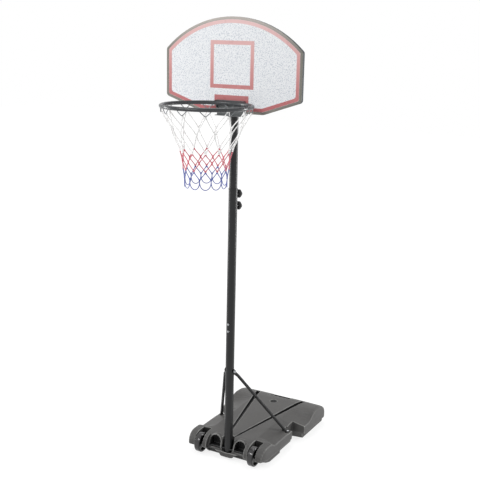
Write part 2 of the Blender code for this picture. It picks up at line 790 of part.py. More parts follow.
def foot_bolt_cutter(side, grow):
    """Bolt hole through the seat, and the pocket for its nut from below."""
    shank = FOOT_BOLT_DIAMETER / 2 + BORE_CLEARANCE + grow
    pocket = FOOT_NUT_POCKET / 2 + grow
    pocket_top = FOOT_SEAT_HEIGHT - FOOT_BOSS_THICKNESS + grow
    top = FOOT_SEAT_HEIGHT + CUT_OVERRUN
    foot = -CUT_OVERRUN
    profile = [(0, top), (shank, top), (shank, pocket_top), (pocket, pocket_top), (pocket, foot), (0, foot)]
    mesh = turned_mesh("foot_bolt_hole", profile, COARSE_STEPS if grow else SMALL_STEPS, closed=False)
    return moved(mesh, Matrix.Translation((side * FOOT_BOLT_X, FOOT_BOLT_Y, 0)))


def axle_cutter(grow):
    """Bore for the axle, open at the left side and blind at the right."""
    radius = AXLE_DIAMETER / 2 + BORE_CLEARANCE + grow
    right = FRONT_HALF_WIDTH - AXLE_BLIND_WALL + grow
    steps = COARSE_STEPS if grow else SMALL_STEPS
    mesh = cylinder_mesh("axle_bore", radius, -FRONT_HALF_WIDTH - CUT_OVERRUN, right, "X", steps)
    return moved(mesh, Matrix.Translation((0, AXLE_Y, AXLE_HEIGHT)))


def axle_cap_cutter(grow):
    """Seat for the cap on the left end of the axle."""
    radius = AXLE_CAP_DIAMETER / 2 + GAP + grow
    steps = COARSE_STEPS if grow else SMALL_STEPS
    right = -FRONT_HALF_WIDTH + AXLE_CAP_DEPTH + grow
    mesh = cylinder_mesh("axle_cap_seat", radius, -FRONT_HALF_WIDTH - CUT_OVERRUN, right, "X", steps)
    return moved(mesh, Matrix.Translation((0, AXLE_Y, AXLE_HEIGHT)))


def recesses(grow):
    yield "handle_step", handle_step_cutter(grow)
    yield "handle_slot", handle_slot_cutter(grow)
    yield "underside_channel", underside_channel_cutter(grow)
    for side, label in ((-1, "left"), (1, "right")):
        yield f"wheel_slot_{label}", wheel_slot_cutter(side, grow)
        yield f"upper_notch_{label}", upper_notch_cutter(side, grow)
        yield f"lower_notch_{label}", lower_notch_cutter(side, grow)
        yield f"groove_{label}", groove_cutter(side, grow)
        yield f"foot_seat_{label}", foot_seat_cutter(side, grow)
        yield f"foot_bolt_hole_{label}", foot_bolt_cutter(side, grow)


def axle_recesses(grow):
    yield "axle_bore", axle_cutter(grow)
    yield "axle_cap_seat", axle_cap_cutter(grow)


def front_block():
    """The narrow webs between the arches and the pole socket are solid."""
    width = CENTRE_HALF_WIDTH + TANK_WALL
    low = (-width, -TANK_FRONT - CUT_OVERRUN, -CUT_OVERRUN)
    high = (width, -LIP_FRONT + ARCH_DEPTH + TANK_WALL, DECK_REAR_HEIGHT + CUT_OVERRUN)
    return box_mesh("front_block", low, high)


def build_tank():
    tank = add_part("base_tank", tank_form("base_tank", 0), BASE_PLASTIC)
    boolean(tank, add_cutter("front", front_cutter()))
    for side, label in ((-1, "left"), (1, "right")):
        boolean(tank, add_cutter(f"arch_collar_{label}", arch_collar(side)), "UNION")
        boolean(tank, add_cutter(f"arch_{label}", arch_cutter(side)))
    for label, mesh in axle_recesses(0):
        boolean(tank, add_cutter(label, mesh))
    boolean(tank, add_cutter("tongue", tongue_mesh()), "UNION")
    boolean(tank, add_cutter("socket", socket_cutter()))
    for label, mesh in recesses(0):
        boolean(tank, add_cutter(label, mesh))
    hollow = add_cutter("tank_hollow", tank_form("tank_hollow", TANK_WALL))
    boolean(hollow, add_cutter("front_block", front_block()))
    for stage in (recesses(TANK_WALL), axle_recesses(TANK_WALL)):
        for label, mesh in stage:
            boolean(hollow, add_cutter(f"{label}_wall", mesh))
    boolean(tank, hollow)
    boolean(tank, add_cutter("fill_hole", fill_hole_mesh(), (0, FILL_HOLE_Y, 0)))


build_tank()


# Fill plug


def build_fill_plug():
    top = PLUG_HEAD_HEIGHT
    head = PLUG_HEAD_DIAMETER / 2
    stem = FILL_HOLE_DIAMETER / 2
    profile = [
        (0, top),
        (head - PLUG_CHAMFER, top),
        (head, top - PLUG_CHAMFER),
        (head, 0),
        (stem, 0),
        (stem, top - PLUG_LENGTH + PLUG_CHAMFER),
        (stem - PLUG_CHAMFER, top - PLUG_LENGTH),
        (0, top - PLUG_LENGTH),
    ]
    seat = deck_height(FILL_HOLE_Y) - PLUG_RECESS - PLUG_HEAD_HEIGHT
    mesh = turned_mesh("fill_plug", profile, 24, closed=False)
    smooth(add_part("fill_plug", mesh, BLACK_PLASTIC, (0, FILL_HOLE_Y, seat)))


build_fill_plug()


# Wheels, axle and its cap


def wheel_profile():
    half = WHEEL_WIDTH / 2
    hub_half = WHEEL_SLOT_WIDTH / 2 - 2 * GAP
    bore = AXLE_DIAMETER / 2 + BORE_CLEARANCE
    hub = bore + WHEEL_HUB_WALL
    dish = WHEEL_RADIUS - WHEEL_TREAD
    web = WHEEL_WEB / 2
    right = [
        (WHEEL_RADIUS - WHEEL_CHAMFER, half),
        (dish, half),
        (dish, web),
        (hub, web),
        (hub, hub_half),
        (bore, hub_half),
    ]
    left = [(radius, -height) for radius, height in right]
    tread = half - WHEEL_CHAMFER
    return [(WHEEL_RADIUS, tread), (WHEEL_RADIUS, -tread)] + left + right[::-1]


def build_wheels():
    for side, label in ((-1, "left"), (1, "right")):
        mesh = turned_mesh(f"wheel_{label}", wheel_profile(), ROUND_STEPS)
        place = (side * WHEEL_OFFSET, AXLE_Y, AXLE_HEIGHT)
        smooth(add_part(f"wheel_{label}", mesh, WHEEL_PLASTIC, place, (0, pi / 2, 0)))


def build_axle():
    left = -FRONT_HALF_WIDTH + AXLE_CAP_DEPTH / 2
    right = FRONT_HALF_WIDTH - AXLE_BLIND_WALL - GAP
    mesh = cylinder_mesh("axle_rod", AXLE_DIAMETER / 2, left, right, "X")
    smooth(add_part("axle_rod", mesh, POLE_PAINT, (0, AXLE_Y, AXLE_HEIGHT)))
    radius = AXLE_CAP_DIAMETER / 2
    bore = AXLE_DIAMETER / 2 + BORE_CLEARANCE
    face = AXLE_CAP_DEPTH
    bottom = AXLE_CAP_DEPTH / 2 + GAP
    profile = [
        (0, face),
        (radius - AXLE_CAP_CHAMFER, face),
        (radius, face - AXLE_CAP_CHAMFER),
        (radius, GAP),
        (bore, GAP),
        (bore, bottom),
        (0, bottom),
    ]
    mesh = turned_mesh("axle_cap", profile, SMALL_STEPS, closed=False)
    place = (-FRONT_HALF_WIDTH + AXLE_CAP_DEPTH, AXLE_Y, AXLE_HEIGHT)
    smooth(add_part("axle_cap", mesh, BLACK_PLASTIC, place, (0, -pi / 2, 0)))


build_wheels()
build_axle()


# Pole


def cross_hole(part, label, diameter, height, axis, low=-CROSS_SPAN, y=0):
    """Hole for a bolt or rod across a tube, through one wall only where it starts at the middle."""
    mesh = cylinder_mesh(label, diameter / 2 + BORE_CLEARANCE, low, CROSS_SPAN, axis)
    boolean(part, add_cutter(label, mesh, (0, y, height)))


def build_lower_pole():
    foot = SOCKET_FLOOR + GAP
    neck_top = SEAM_HEIGHT + NECK_LENGTH
    inner = OUTER_RADIUS - TUBE_WALL
    profile = [
        (NECK_RADIUS, neck_top),
        (NECK_RADIUS, SEAM_HEIGHT - GAP),
        (OUTER_RADIUS, SEAM_HEIGHT - GAP),
        (OUTER_RADIUS, foot),
        (inner, foot),
        (inner, SEAM_HEIGHT - NECK_TAPER),
        (NECK_RADIUS - TUBE_WALL, SEAM_HEIGHT),
        (NECK_RADIUS - TUBE_WALL, neck_top),
    ]
    pole = add_part("lower_pole", turned_mesh("lower_pole", profile), POLE_PAINT)
    smooth(pole)
    cross_hole(pole, "lower_pole_axle_hole", AXLE_DIAMETER, AXLE_HEIGHT, "X", y=AXLE_Y)
    cross_hole(pole, "lower_pole_strut_hole", STRUT_BOLT_DIAMETER, STRUT_BOLT_HEIGHT, "X")
    for i, height in enumerate(JOINT_BOLT_HEIGHTS):
        cross_hole(pole, f"neck_hole_{i}", JOINT_BOLT_DIAMETER, height, "Y")


def build_middle_pole():
    inner = OUTER_RADIUS - TUBE_WALL
    lip = OUTER_RADIUS + MIDDLE_LIP
    profile = [
        (lip, MIDDLE_TOP),
        (lip, MIDDLE_TOP - MIDDLE_LIP_HEIGHT),
        (OUTER_RADIUS, MIDDLE_TOP - MIDDLE_LIP_HEIGHT),
        (OUTER_RADIUS, SEAM_HEIGHT),
        (inner, SEAM_HEIGHT),
        (inner, MIDDLE_TOP),
    ]
    pole = add_part("middle_pole", turned_mesh("middle_pole", profile), POLE_PAINT)
    smooth(pole)
    for i, height in enumerate(JOINT_BOLT_HEIGHTS):
        cross_hole(pole, f"middle_hole_{i}", JOINT_BOLT_DIAMETER, height, "Y")
    for i, height in enumerate(KNOB_HEIGHTS):
        cross_hole(pole, f"stud_hole_{i}", STUD_DIAMETER, height, "Y", low=0)


def build_upper_pole():
    foot = MIDDLE_TOP - UPPER_TUBE_OVERLAP
    inner = UPPER_RADIUS - TUBE_WALL
    profile = [(UPPER_RADIUS, UPPER_TOP), (UPPER_RADIUS, foot), (inner, foot), (inner, UPPER_TOP)]
    pole = add_part("upper_pole", turned_mesh("upper_pole", profile), POLE_PAINT)
    smooth(pole)
    cross_hole(pole, "bracket_hole", BRACKET_BOLT_DIAMETER, BRACKET_BOLT_HEIGHT, "X")


def build_pole_cap():
    plug = UPPER_RADIUS - TUBE_WALL - GAP
    profile = [
        (0, POLE_CAP_HEIGHT),
        (UPPER_RADIUS - POLE_CAP_CHAMFER, POLE_CAP_HEIGHT),
        (UPPER_RADIUS, POLE_CAP_HEIGHT - POLE_CAP_CHAMFER),
        (UPPER_RADIUS, GAP),
        (plug, GAP),
        (plug, -POLE_CAP_PLUG),
        (0, -POLE_CAP_PLUG),
    ]
    mesh = turned_mesh("pole_cap", profile, closed=False)
    smooth(add_part("pole_cap", mesh, BLACK_PLASTIC, (0, 0, UPPER_TOP)))


build_lower_pole()
build_middle_pole()
build_upper_pole()
build_pole_cap()


# Bolts and nuts


def bolt_mesh(name, diameter, length):
    """Domed bolt along Z, the underside of its head at Z = 0 and its shank pointing down."""
    shank = diameter / 2
    head = diameter * HEAD_RATIO / 2
    rise = diameter * 0.55
    dome = [(head * cos(radians(a)), rise * sin(radians(a))) for a in (60, 28)]
    profile = [(0, rise)] + dome + [(head, 0), (shank, 0), (shank, -length), (0, -length)]
    return turned_mesh(name, profile, SMALL_STEPS, closed=False)


def nut_mesh(name, diameter, height):
    """Hexagon nut on Z = 0, its top at Z = height."""
    outlines = [hexagon(diameter * NUT_RATIO), circle(diameter / 2 + BORE_CLEARANCE)]
    return moved(flat_mesh(name, outlines, height), Matrix.Translation((0, 0, height / 2)))


def nut_height(diameter):
    return 0.8 * diameter


FACING = {
    "+X": (0, pi / 2, 0),
    "-X": (0, -pi / 2, 0),
    "+Y": (-pi / 2, 0, 0),
    "-Y": (pi / 2, 0, 0),
    "+Z": (0, 0, 0),
    "-Z": (pi, 0, 0),
}


def add_bolt(name, diameter, length, place, facing, material=ZINC):
    smooth(add_part(name, bolt_mesh(name, diameter, length), material, place, FACING[facing]), 30)


def add_nut(name, diameter, place, facing, material=ZINC):
    add_part(name, nut_mesh(name, diameter, nut_height(diameter)), material, place, FACING[facing])


def build_joint_bolts():
    seat = OUTER_RADIUS + GAP
    for number, height in enumerate(JOINT_BOLT_HEIGHTS, start=1):
        length = 2 * seat + nut_height(JOINT_BOLT_DIAMETER) + BOLT_OVERLENGTH
        add_bolt(f"joint_bolt_{number}", JOINT_BOLT_DIAMETER, length, (0, seat, height), "+Y")
        add_nut(f"joint_nut_{number}", JOINT_BOLT_DIAMETER, (0, -seat, height), "-Y")


build_joint_bolts()


# Struts from the pole down to the sides of the base


def strut_frames():
    """Centre, width direction and half sizes of each section, from the pole down to the foot."""
    tab = STRUT_TAB_THICKNESS / 2
    flat = STRUT_TAB_WIDTH / 2
    round_radius = STRUT_DIAMETER / 2
    top = Vector((STRUT_TAB_X, 0, STRUT_BOLT_HEIGHT))
    foot_height = FOOT_SEAT_HEIGHT + GAP + tab
    foot = Vector((FOOT_BOLT_X, FOOT_BOLT_Y, foot_height))
    run = (foot - top).normalized()
    bend_down = Vector((0, run.y, run.z)).normalized()
    top_end = top - bend_down * flat
    top_bend = top + bend_down * STRUT_BEND_DROP
    tube_start = top_bend + run * STRUT_TAPER + Vector((round_radius - tab, 0, 0))
    level = Vector((run.x, run.y, 0)).normalized()
    foot_bend = foot - level * flat
    tube_end = foot_bend - run * STRUT_TAPER + Vector((0, 0, tab))
    foot_end = foot + level * flat
    return [
        (top_end, (bend_down, Vector((1, 0, 0))), (flat * 0.55, tab)),
        (top_end + bend_down * flat * 0.45, (bend_down, Vector((1, 0, 0))), (flat, tab)),
        (top_bend, (bend_down, Vector((1, 0, 0))), (flat, tab)),
        (tube_start, (run, Vector((1, 0, 0))), (round_radius, round_radius)),
        (tube_end, (run, Vector((0, 0, 1))), (round_radius, round_radius)),
        (foot_bend, (level, Vector((0, 0, 1))), (flat, tab)),
        (foot_end - level * flat * 0.45, (level, Vector((0, 0, 1))), (flat, tab)),
        (foot_end, (level, Vector((0, 0, 1))), (flat * 0.55, tab)),
    ]


def strut_section(centre, directions, halves, side):
    """Oval ring square to the strut; the thin way of a tab points along the second direction."""
    along, thin = directions
    wide = along.cross(thin).normalized()
    thin = wide.cross(along).normalized()
    ring = []
    for i in range(SMALL_STEPS):
        angle = 2 * pi * (i + 0.5) / SMALL_STEPS
        point = centre + wide * halves[0] * cos(angle) + thin * halves[1] * sin(angle)
        ring.append((side * point.x, point.y, point.z))
    return ring


def build_struts():
    frames = strut_frames()
    for side, label in ((-1, "left"), (1, "right")):
        rings = [strut_section(*frame, side) for frame in frames]
        strut = add_part(f"strut_{label}", loft_mesh(f"strut_{label}", rings), POLE_PAINT)
        cross_hole(strut, f"strut_top_hole_{label}", STRUT_BOLT_DIAMETER, STRUT_BOLT_HEIGHT, "X")
        bore = FOOT_BOLT_DIAMETER / 2 + BORE_CLEARANCE
        low = FOOT_SEAT_HEIGHT - CUT_OVERRUN
        high = FOOT_SEAT_HEIGHT + STRUT_TAB_THICKNESS + STRUT_DIAMETER
        foot_hole = cylinder_mesh("strut_foot_hole", bore, low, high)
        place = (side * FOOT_BOLT_X, FOOT_BOLT_Y, 0)
        boolean(strut, add_cutter(f"strut_foot_hole_{label}", foot_hole, place))


def build_strut_bolts():
    seat = STRUT_TAB_X + STRUT_TAB_THICKNESS / 2 + GAP
    length = 2 * seat + nut_height(STRUT_BOLT_DIAMETER) + BOLT_OVERLENGTH
    add_bolt("strut_bolt", STRUT_BOLT_DIAMETER, length, (-seat, 0, STRUT_BOLT_HEIGHT), "-X", POLE_PAINT)
    add_nut("strut_nut", STRUT_BOLT_DIAMETER, (seat, 0, STRUT_BOLT_HEIGHT), "+X", POLE_PAINT)
    top = FOOT_SEAT_HEIGHT + 2 * GAP + STRUT_TAB_THICKNESS
    nut_seat = FOOT_SEAT_HEIGHT - FOOT_BOSS_THICKNESS - GAP
    length = top - nut_seat + nut_height(FOOT_BOLT_DIAMETER) + BOLT_OVERLENGTH
    for side, label in ((-1, "left"), (1, "right")):
        x = side * FOOT_BOLT_X
        add_bolt(f"foot_bolt_{label}", FOOT_BOLT_DIAMETER, length, (x, FOOT_BOLT_Y, top), "+Z")
        add_nut(f"foot_nut_{label}", FOOT_BOLT_DIAMETER, (x, FOOT_BOLT_Y, nut_seat), "-Z")


build_struts()
build_strut_bolts()


# Height knobs, each with its stud and the nut welded to the pole


def knob_ring(radius, lobe, height):
    points = []
    for i in range(6 * KNOB_LOBES):
        angle = 2 * pi * i / (6 * KNOB_LOBES)
        reach = radius - lobe * (1 - cos(KNOB_LOBES * angle)) / 2
        points.append((reach * cos(angle), reach * sin(angle), height))
    return points


def knob_mesh(name):
    radius = KNOB_DIAMETER / 2
    face = radius * KNOB_FACE_SHARE
    grip_start, grip_end = KNOB_GRIP
    levels = (
        (face, 0, 0),
        (radius - KNOB_CHAMFER, KNOB_LOBE_DEPTH, grip_start / 2),
        (radius, KNOB_LOBE_DEPTH, grip_start),
        (radius, KNOB_LOBE_DEPTH, grip_end),
        (radius - KNOB_CHAMFER, KNOB_LOBE_DEPTH, grip_end + KNOB_CHAMFER),
        (face + KNOB_CHAMFER / 2, KNOB_LOBE_DEPTH / 3, KNOB_LENGTH - KNOB_CHAMFER / 2),
        (face, 0, KNOB_LENGTH),
    )
    return loft_mesh(name, [knob_ring(*level) for level in levels])


def build_knobs():
    weld_seat = OUTER_RADIUS + GAP
    knob_seat = weld_seat + WELD_NUT_LENGTH + KNOB_STANDOFF
    stud_start = UPPER_RADIUS + GAP
    stud_end = knob_seat + STUD_IN_KNOB
    for height, label in zip(KNOB_HEIGHTS, ("lower", "upper")):
        outlines = [hexagon(WELD_NUT_ACROSS), circle(STUD_DIAMETER / 2 + BORE_CLEARANCE)]
        mesh = flat_mesh(f"weld_nut_{label}", outlines, WELD_NUT_LENGTH)
        moved(mesh, Matrix.Translation((0, 0, WELD_NUT_LENGTH / 2)))
        add_part(f"weld_nut_{label}", mesh, POLE_PAINT, (0, weld_seat, height), FACING["+Y"])
        stud = cylinder_mesh(f"stud_{label}", STUD_DIAMETER / 2, stud_start, stud_end, "Y")
        smooth(add_part(f"stud_{label}", stud, ZINC, (0, 0, height)))
        mesh = knob_mesh(f"knob_{label}")
        knob = add_part(f"knob_{label}", mesh, BLACK_PLASTIC, (0, knob_seat, height), FACING["+Y"])
        smooth(knob)
        bore_radius = STUD_DIAMETER / 2 + BORE_CLEARANCE
        bore = cylinder_mesh(f"knob_bore_{label}", bore_radius, 0, stud_end + GAP, "Y")
        boolean(knob, add_cutter(f"knob_bore_{label}", bore, (0, 0, height)))


build_knobs()


# Backboard


def board_outline(inset, corner=BOARD_CORNER_RADIUS):
    """Fan-shaped outline in (x, height), counter-clockwise seen from behind, drawn in by inset."""
    half = BOARD_WIDTH / 2
    rise = BOARD_TOP - BOARD_SHOULDER
    arc_radius = (half**2 + rise**2) / (2 * rise)
    arc_centre = BOARD_TOP - arc_radius
    low_half = BOARD_BOTTOM_WIDTH / 2
    slant = Vector((half - low_half, BOARD_SIDE_BOTTOM - BOARD_BOTTOM)).normalized()
    inward = Vector((-slant.y, slant.x))
    on_slant = Vector((half, BOARD_SIDE_BOTTOM)) + inward * inset
    side = half - inset
    bottom = BOARD_BOTTOM + inset
    side_low = on_slant.y + (side - on_slant.x) * slant.y / slant.x
    low_x = on_slant.x + (bottom - on_slant.y) * slant.x / slant.y
    radius = arc_radius - inset
    reach = asin(side / radius)
    side_corner = fillet((low_x, bottom), (side, side_low), (side, side_low + 0.1), corner)
    low_corner = fillet((-low_x, bottom), (low_x, bottom), (side, side_low), corner)
    shoulder = arc_centre + radius * cos(reach)
    tangent = (side - cos(reach) * 0.1, shoulder + sin(reach) * 0.1)
    top_corner = fillet((side, side_low), (side, shoulder), tangent, corner)
    trim = reach - corner * 0.55 / radius
    steps = [trim * i / 12 for i in range(12, 0, -1)]
    arc = [(radius * sin(angle), arc_centre + radius * cos(angle)) for angle in steps]
    right = low_corner + side_corner + top_corner + arc
    left = [(-x, z) for x, z in reversed(right)]
    return right + [(0, arc_centre + radius)] + left


def fillet(before, corner, after, radius, steps=4):
    """Points of an arc that rounds one corner of an outline."""
    here = Vector(corner)
    one = (Vector(before) - here).normalized()
    two = (Vector(after) - here).normalized()
    half = one.angle(two) / 2
    centre = here + (one + two).normalized() * radius / sin(half)
    first = here + one * radius / sin(half) * cos(half) - centre
    last = here + two * radius / sin(half) * cos(half) - centre
    points = []
    for k in range(steps + 1):
        points.append(tuple(centre + first.slerp(last, k / steps) * radius))
    return points


def upright(mesh, front, back):
    """Turns a flat mesh drawn in (x, height) upright, its faces at the two given places in Y."""
    middle = (front + back) / 2
    turn = Matrix.Rotation(pi / 2, 4, "X")
    return moved(mesh, Matrix.Translation((0, middle, 0)) @ turn)


def board_slab(name, inset, front, back, corner=BOARD_CORNER_RADIUS):
    half = abs(back - front) / 2
    outline = board_outline(inset, corner)
    mesh = loft_mesh(name, [[(x, height, side) for x, height in outline] for side in (-half, half)])
    return upright(mesh, front, back)


def pocket_mesh():
    """Everything that is hollow behind the front wall, with the ribs left standing."""
    rear = -BOARD_REAR + CUT_OVERRUN
    holder = bpy.data.objects.new("pockets", board_slab("pockets", BOARD_RIM_WALL, -WALL_BACK, rear))
    cutters.objects.link(holder)
    half = BOARD_WIDTH
    ribs = []
    for offset in RIB_OFFSETS:
        for side in (-1, 1):
            x = side * offset
            ribs.append(
                box_mesh(
                    "rib",
                    (x - RIB_THICKNESS / 2, -BOARD_FACE - CUT_OVERRUN, BOARD_BOTTOM - CUT_OVERRUN),
                    (x + RIB_THICKNESS / 2, -BOARD_REAR - RIB_SETBACK, BOARD_TOP + CUT_OVERRUN),
                )
            )
    made = [holder]
    for number, mesh in enumerate(ribs):
        rib = bpy.data.objects.new(f"rib_{number}", mesh)
        cutters.objects.link(rib)
        boolean(holder, rib)
        made.append(rib)
    number = 0
    for rise in RIB_RISES:
        level = HOOP_HEIGHT + rise
        for side in (-1, 1):
            inner = RIB_OFFSETS[0] * side
            outer = half * side
            low = (min(inner, outer), -BOARD_FACE - CUT_OVERRUN, level - RIB_THICKNESS / 2)
            high = (max(inner, outer), -BOARD_REAR - RIB_SETBACK, level + RIB_THICKNESS / 2)
            rib = bpy.data.objects.new(f"level_rib_{number}", box_mesh("level_rib", low, high))
            cutters.objects.link(rib)
            boolean(holder, rib)
            made.append(rib)
            number += 1
    for side in (-1, 1):
        rear_end = -BOARD_REAR - BOSS_SETBACK
        boss = cylinder_mesh("boss", BOSS_DIAMETER / 2, -BOARD_FACE - CUT_OVERRUN, rear_end, "Y")
        moved(boss, Matrix.Translation((side * RIB_OFFSETS[0], 0, UPPER_STRAP_HEIGHT)))
        post = bpy.data.objects.new("boss", boss)
        cutters.objects.link(post)
        boolean(holder, post)
        made.append(post)
    mesh = baked(holder)
    for thing in made[1:]:
        bpy.data.objects.remove(thing, do_unlink=True)
    return mesh


def rim_bolt_hole(part, label):
    radius = RIM_BOLT_DIAMETER / 2 + BORE_CLEARANCE
    for side, name in ((-1, "left"), (1, "right")):
        mesh = cylinder_mesh(label, radius, -RIM_PLATE_FACE - CUT_OVERRUN, 0, "Y")
        cutter = add_cutter(f"{label}_{name}", mesh, (side * RIM_BOLT_X, 0, RIM_BOLT_HEIGHT))
        boolean(part, cutter)


def build_board():
    slab = board_slab("backboard_shell", 0, -BOARD_FACE, -BOARD_REAR)
    shell = add_part("backboard_shell", slab, BOARD_PLASTIC)
    front = -BOARD_FACE - CUT_OVERRUN
    recess = board_slab("panel_recess", BEZEL_WIDTH - GAP, front, -WALL_FRONT, PANEL_CORNER_RADIUS)
    boolean(shell, add_cutter("panel_recess", recess))
    boolean(shell, add_cutter("pockets", pocket_mesh()))
    channel = OUTER_RADIUS + STEEL + 2 * GAP
    slot = box_mesh(
        "pole_channel",
        (-channel, -WALL_BACK + GAP / 2, BOARD_BOTTOM - CUT_OVERRUN),
        (channel, CUT_OVERRUN, BOARD_BOTTOM + 2 * BOARD_RIM_WALL),
    )
    boolean(shell, add_cutter("pole_channel", slot))
    rim_bolt_hole(shell, "shell_bolt_hole")
    for side, label in ((-1, "left"), (1, "right")):
        hole_end = -BOARD_REAR - SCREW_LENGTH - GAP
        mesh = cylinder_mesh("screw_hole", SCREW_DIAMETER / 2 + BORE_CLEARANCE, hole_end, CUT_OVERRUN, "Y")
        place = (side * RIB_OFFSETS[0], 0, UPPER_STRAP_HEIGHT)
        boolean(shell, add_cutter(f"screw_hole_{label}", mesh, place))
    slab = board_slab("backboard_panel", BEZEL_WIDTH, -BOARD_FACE, -WALL_FRONT - GAP, PANEL_CORNER_RADIUS)
    panel = add_part("backboard_panel", slab, PANEL_PRINT)
    rim_bolt_hole(panel, "panel_bolt_hole")


build_board()


# Strap and bracket between the board and the pole


def strip_outline(centre_line, thickness):
    """Outline of a bent strip of even thickness along an open line of points in XY."""
    line = [Vector(point) for point in centre_line]
    normals = []
    for start, end in zip(line, line[1:]):
        run = (end - start).normalized()
        normals.append(Vector((-run.y, run.x)))
    outer, inner = [], []
    for i, point in enumerate(line):
        around = normals[max(i - 1, 0)], normals[min(i, len(normals) - 1)]
        mitre = (around[0] + around[1]).normalized()
        reach = thickness / 2 / mitre.dot(around[0])
        outer.append(tuple(point + mitre * reach))
        inner.append(tuple(point - mitre * reach))
    return outer + inner[::-1]


def build_upper_strap():
    """Bent steel strap round the back of the pole, screwed to two bosses on the board."""
    wrap = UPPER_RADIUS + GAP + STEEL / 2
    ear = -BOARD_REAR + GAP + STEEL / 2
    end = RIB_OFFSETS[0] + STRAP_EAR / 2
    line = [(-end, ear), (-wrap - 0.002, ear)]
    line += [(-wrap * cos(pi * i / 10), wrap * sin(pi * i / 10)) for i in range(11)]
    line += [(wrap + 0.002, ear), (end, ear)]
    line[2] = (-wrap, 0)
    mesh = flat_mesh("upper_strap", [strip_outline(line, STEEL)], UPPER_STRAP_WIDTH)
    strap = add_part("upper_strap", mesh, BRACKET_STEEL, (0, 0, UPPER_STRAP_HEIGHT))
    seat = -BOARD_REAR + 2 * GAP + STEEL
    for side, label in ((-1, "left"), (1, "right")):
        x = side * RIB_OFFSETS[0]
        bore = SCREW_DIAMETER / 2 + BORE_CLEARANCE
        hole = cylinder_mesh("strap_hole", bore, -BOARD_REAR - SCREW_LENGTH, CUT_OVERRUN, "Y")
        boolean(strap, add_cutter(f"strap_hole_{label}", hole, (x, 0, UPPER_STRAP_HEIGHT)))
        length = SCREW_LENGTH + STEEL + GAP
        add_bolt(f"strap_screw_{label}", SCREW_DIAMETER, length, (x, seat, UPPER_STRAP_HEIGHT), "+Y")


def build_lower_bracket():
    """Welded bracket: a plate behind the board, and a channel that takes the pole."""
    inside = UPPER_RADIUS + GAP
    outside = inside + STEEL
    plate = box_mesh(
        "bracket_plate",
        (-LOWER_BRACKET_HALF_WIDTH, -PLATE_FRONT, LOWER_BRACKET_PLATE_FOOT),
        (LOWER_BRACKET_HALF_WIDTH, -PLATE_BACK, LOWER_BRACKET_TOP),
    )
    bracket = add_part("lower_bracket", plate, BRACKET_STEEL)
    web = box_mesh(
        "bracket_web",
        (-outside, -PLATE_FRONT, LOWER_BRACKET_FOOT),
        (outside, -PLATE_BACK, LOWER_BRACKET_TOP),
    )
    boolean(bracket, add_cutter("bracket_web", web), "UNION")
    for side, label in ((-1, "left"), (1, "right")):
        xs = sorted((side * inside, side * outside))
        arm = box_mesh(
            "bracket_arm",
            (xs[0], -PLATE_FRONT, LOWER_BRACKET_FOOT),
            (xs[1], LOWER_BRACKET_ARM, LOWER_BRACKET_TOP),
        )
        boolean(bracket, add_cutter(f"bracket_arm_{label}", arm), "UNION")
    cross_hole(bracket, "arm_hole", BRACKET_BOLT_DIAMETER, BRACKET_BOLT_HEIGHT, "X")
    rim_bolt_hole(bracket, "bracket_bolt_hole")
    seat = outside + GAP
    length = 2 * seat + nut_height(BRACKET_BOLT_DIAMETER) + BOLT_OVERLENGTH
    add_bolt("bracket_bolt", BRACKET_BOLT_DIAMETER, length, (-seat, 0, BRACKET_BOLT_HEIGHT), "-X")
    add_nut("bracket_nut", BRACKET_BOLT_DIAMETER, (seat, 0, BRACKET_BOLT_HEIGHT), "+X")


build_upper_strap()
build_lower_bracket()


# Hoop with its hooks and bracket


def torus_mesh(name, radius, tube, around=48, across=10):
    def build(shape):
        rings = []
        for i in range(around):
            angle = 2 * pi * i / around
            ring = []
            for j in range(across):
                turn = 2 * pi * j / across
                reach = radius + tube * cos(turn)
                ring.append(shape.verts.new((reach * cos(angle), reach * sin(angle), tube * sin(turn))))
            rings.append(ring)
        for i in range(around):
            for j in range(across):
                here, there = rings[i], rings[(i + 1) % around]
                k = (j + 1) % across
                shape.faces.new((here[j], there[j], there[k], here[k]))

    return mesh_from(name, build)


def hook_angle(number):
    return 2 * pi * number / HOOK_COUNT - pi / 2


def hook_meshes():
    hooks = []
    for number in range(HOOK_COUNT):
        angle = hook_angle(number)
        outward = Vector((cos(angle), sin(angle), 0)) * HOOP_RADIUS
        across = Vector((-sin(angle), cos(angle), 0))
        route = [
            outward + across * (HOOK_HALF_WIDTH * share) + Vector((0, 0, height))
            for share, height in (
                (-1, -HOOP_TUBE * 0.2),
                (-0.9, -HOOP_TUBE / 2),
                (-0.1, -HOOK_DROP),
                (0.1, -HOOK_DROP),
                (0.9, -HOOP_TUBE / 2),
                (1, -HOOP_TUBE * 0.2),
            )
        ]
        hooks.append(wire_mesh("hook", route, HOOK_WIRE))
    return hooks


def build_hoop():
    centre = (0, -HOOP_REACH, HOOP_HEIGHT)
    ring = add_part("rim_ring", torus_mesh("rim_ring", HOOP_RADIUS, HOOP_TUBE / 2), HOOP_PAINT, centre)
    smooth(ring)
    boolean(ring, add_cutter("net_hooks", joined_mesh("net_hooks", hook_meshes()), centre), "UNION")


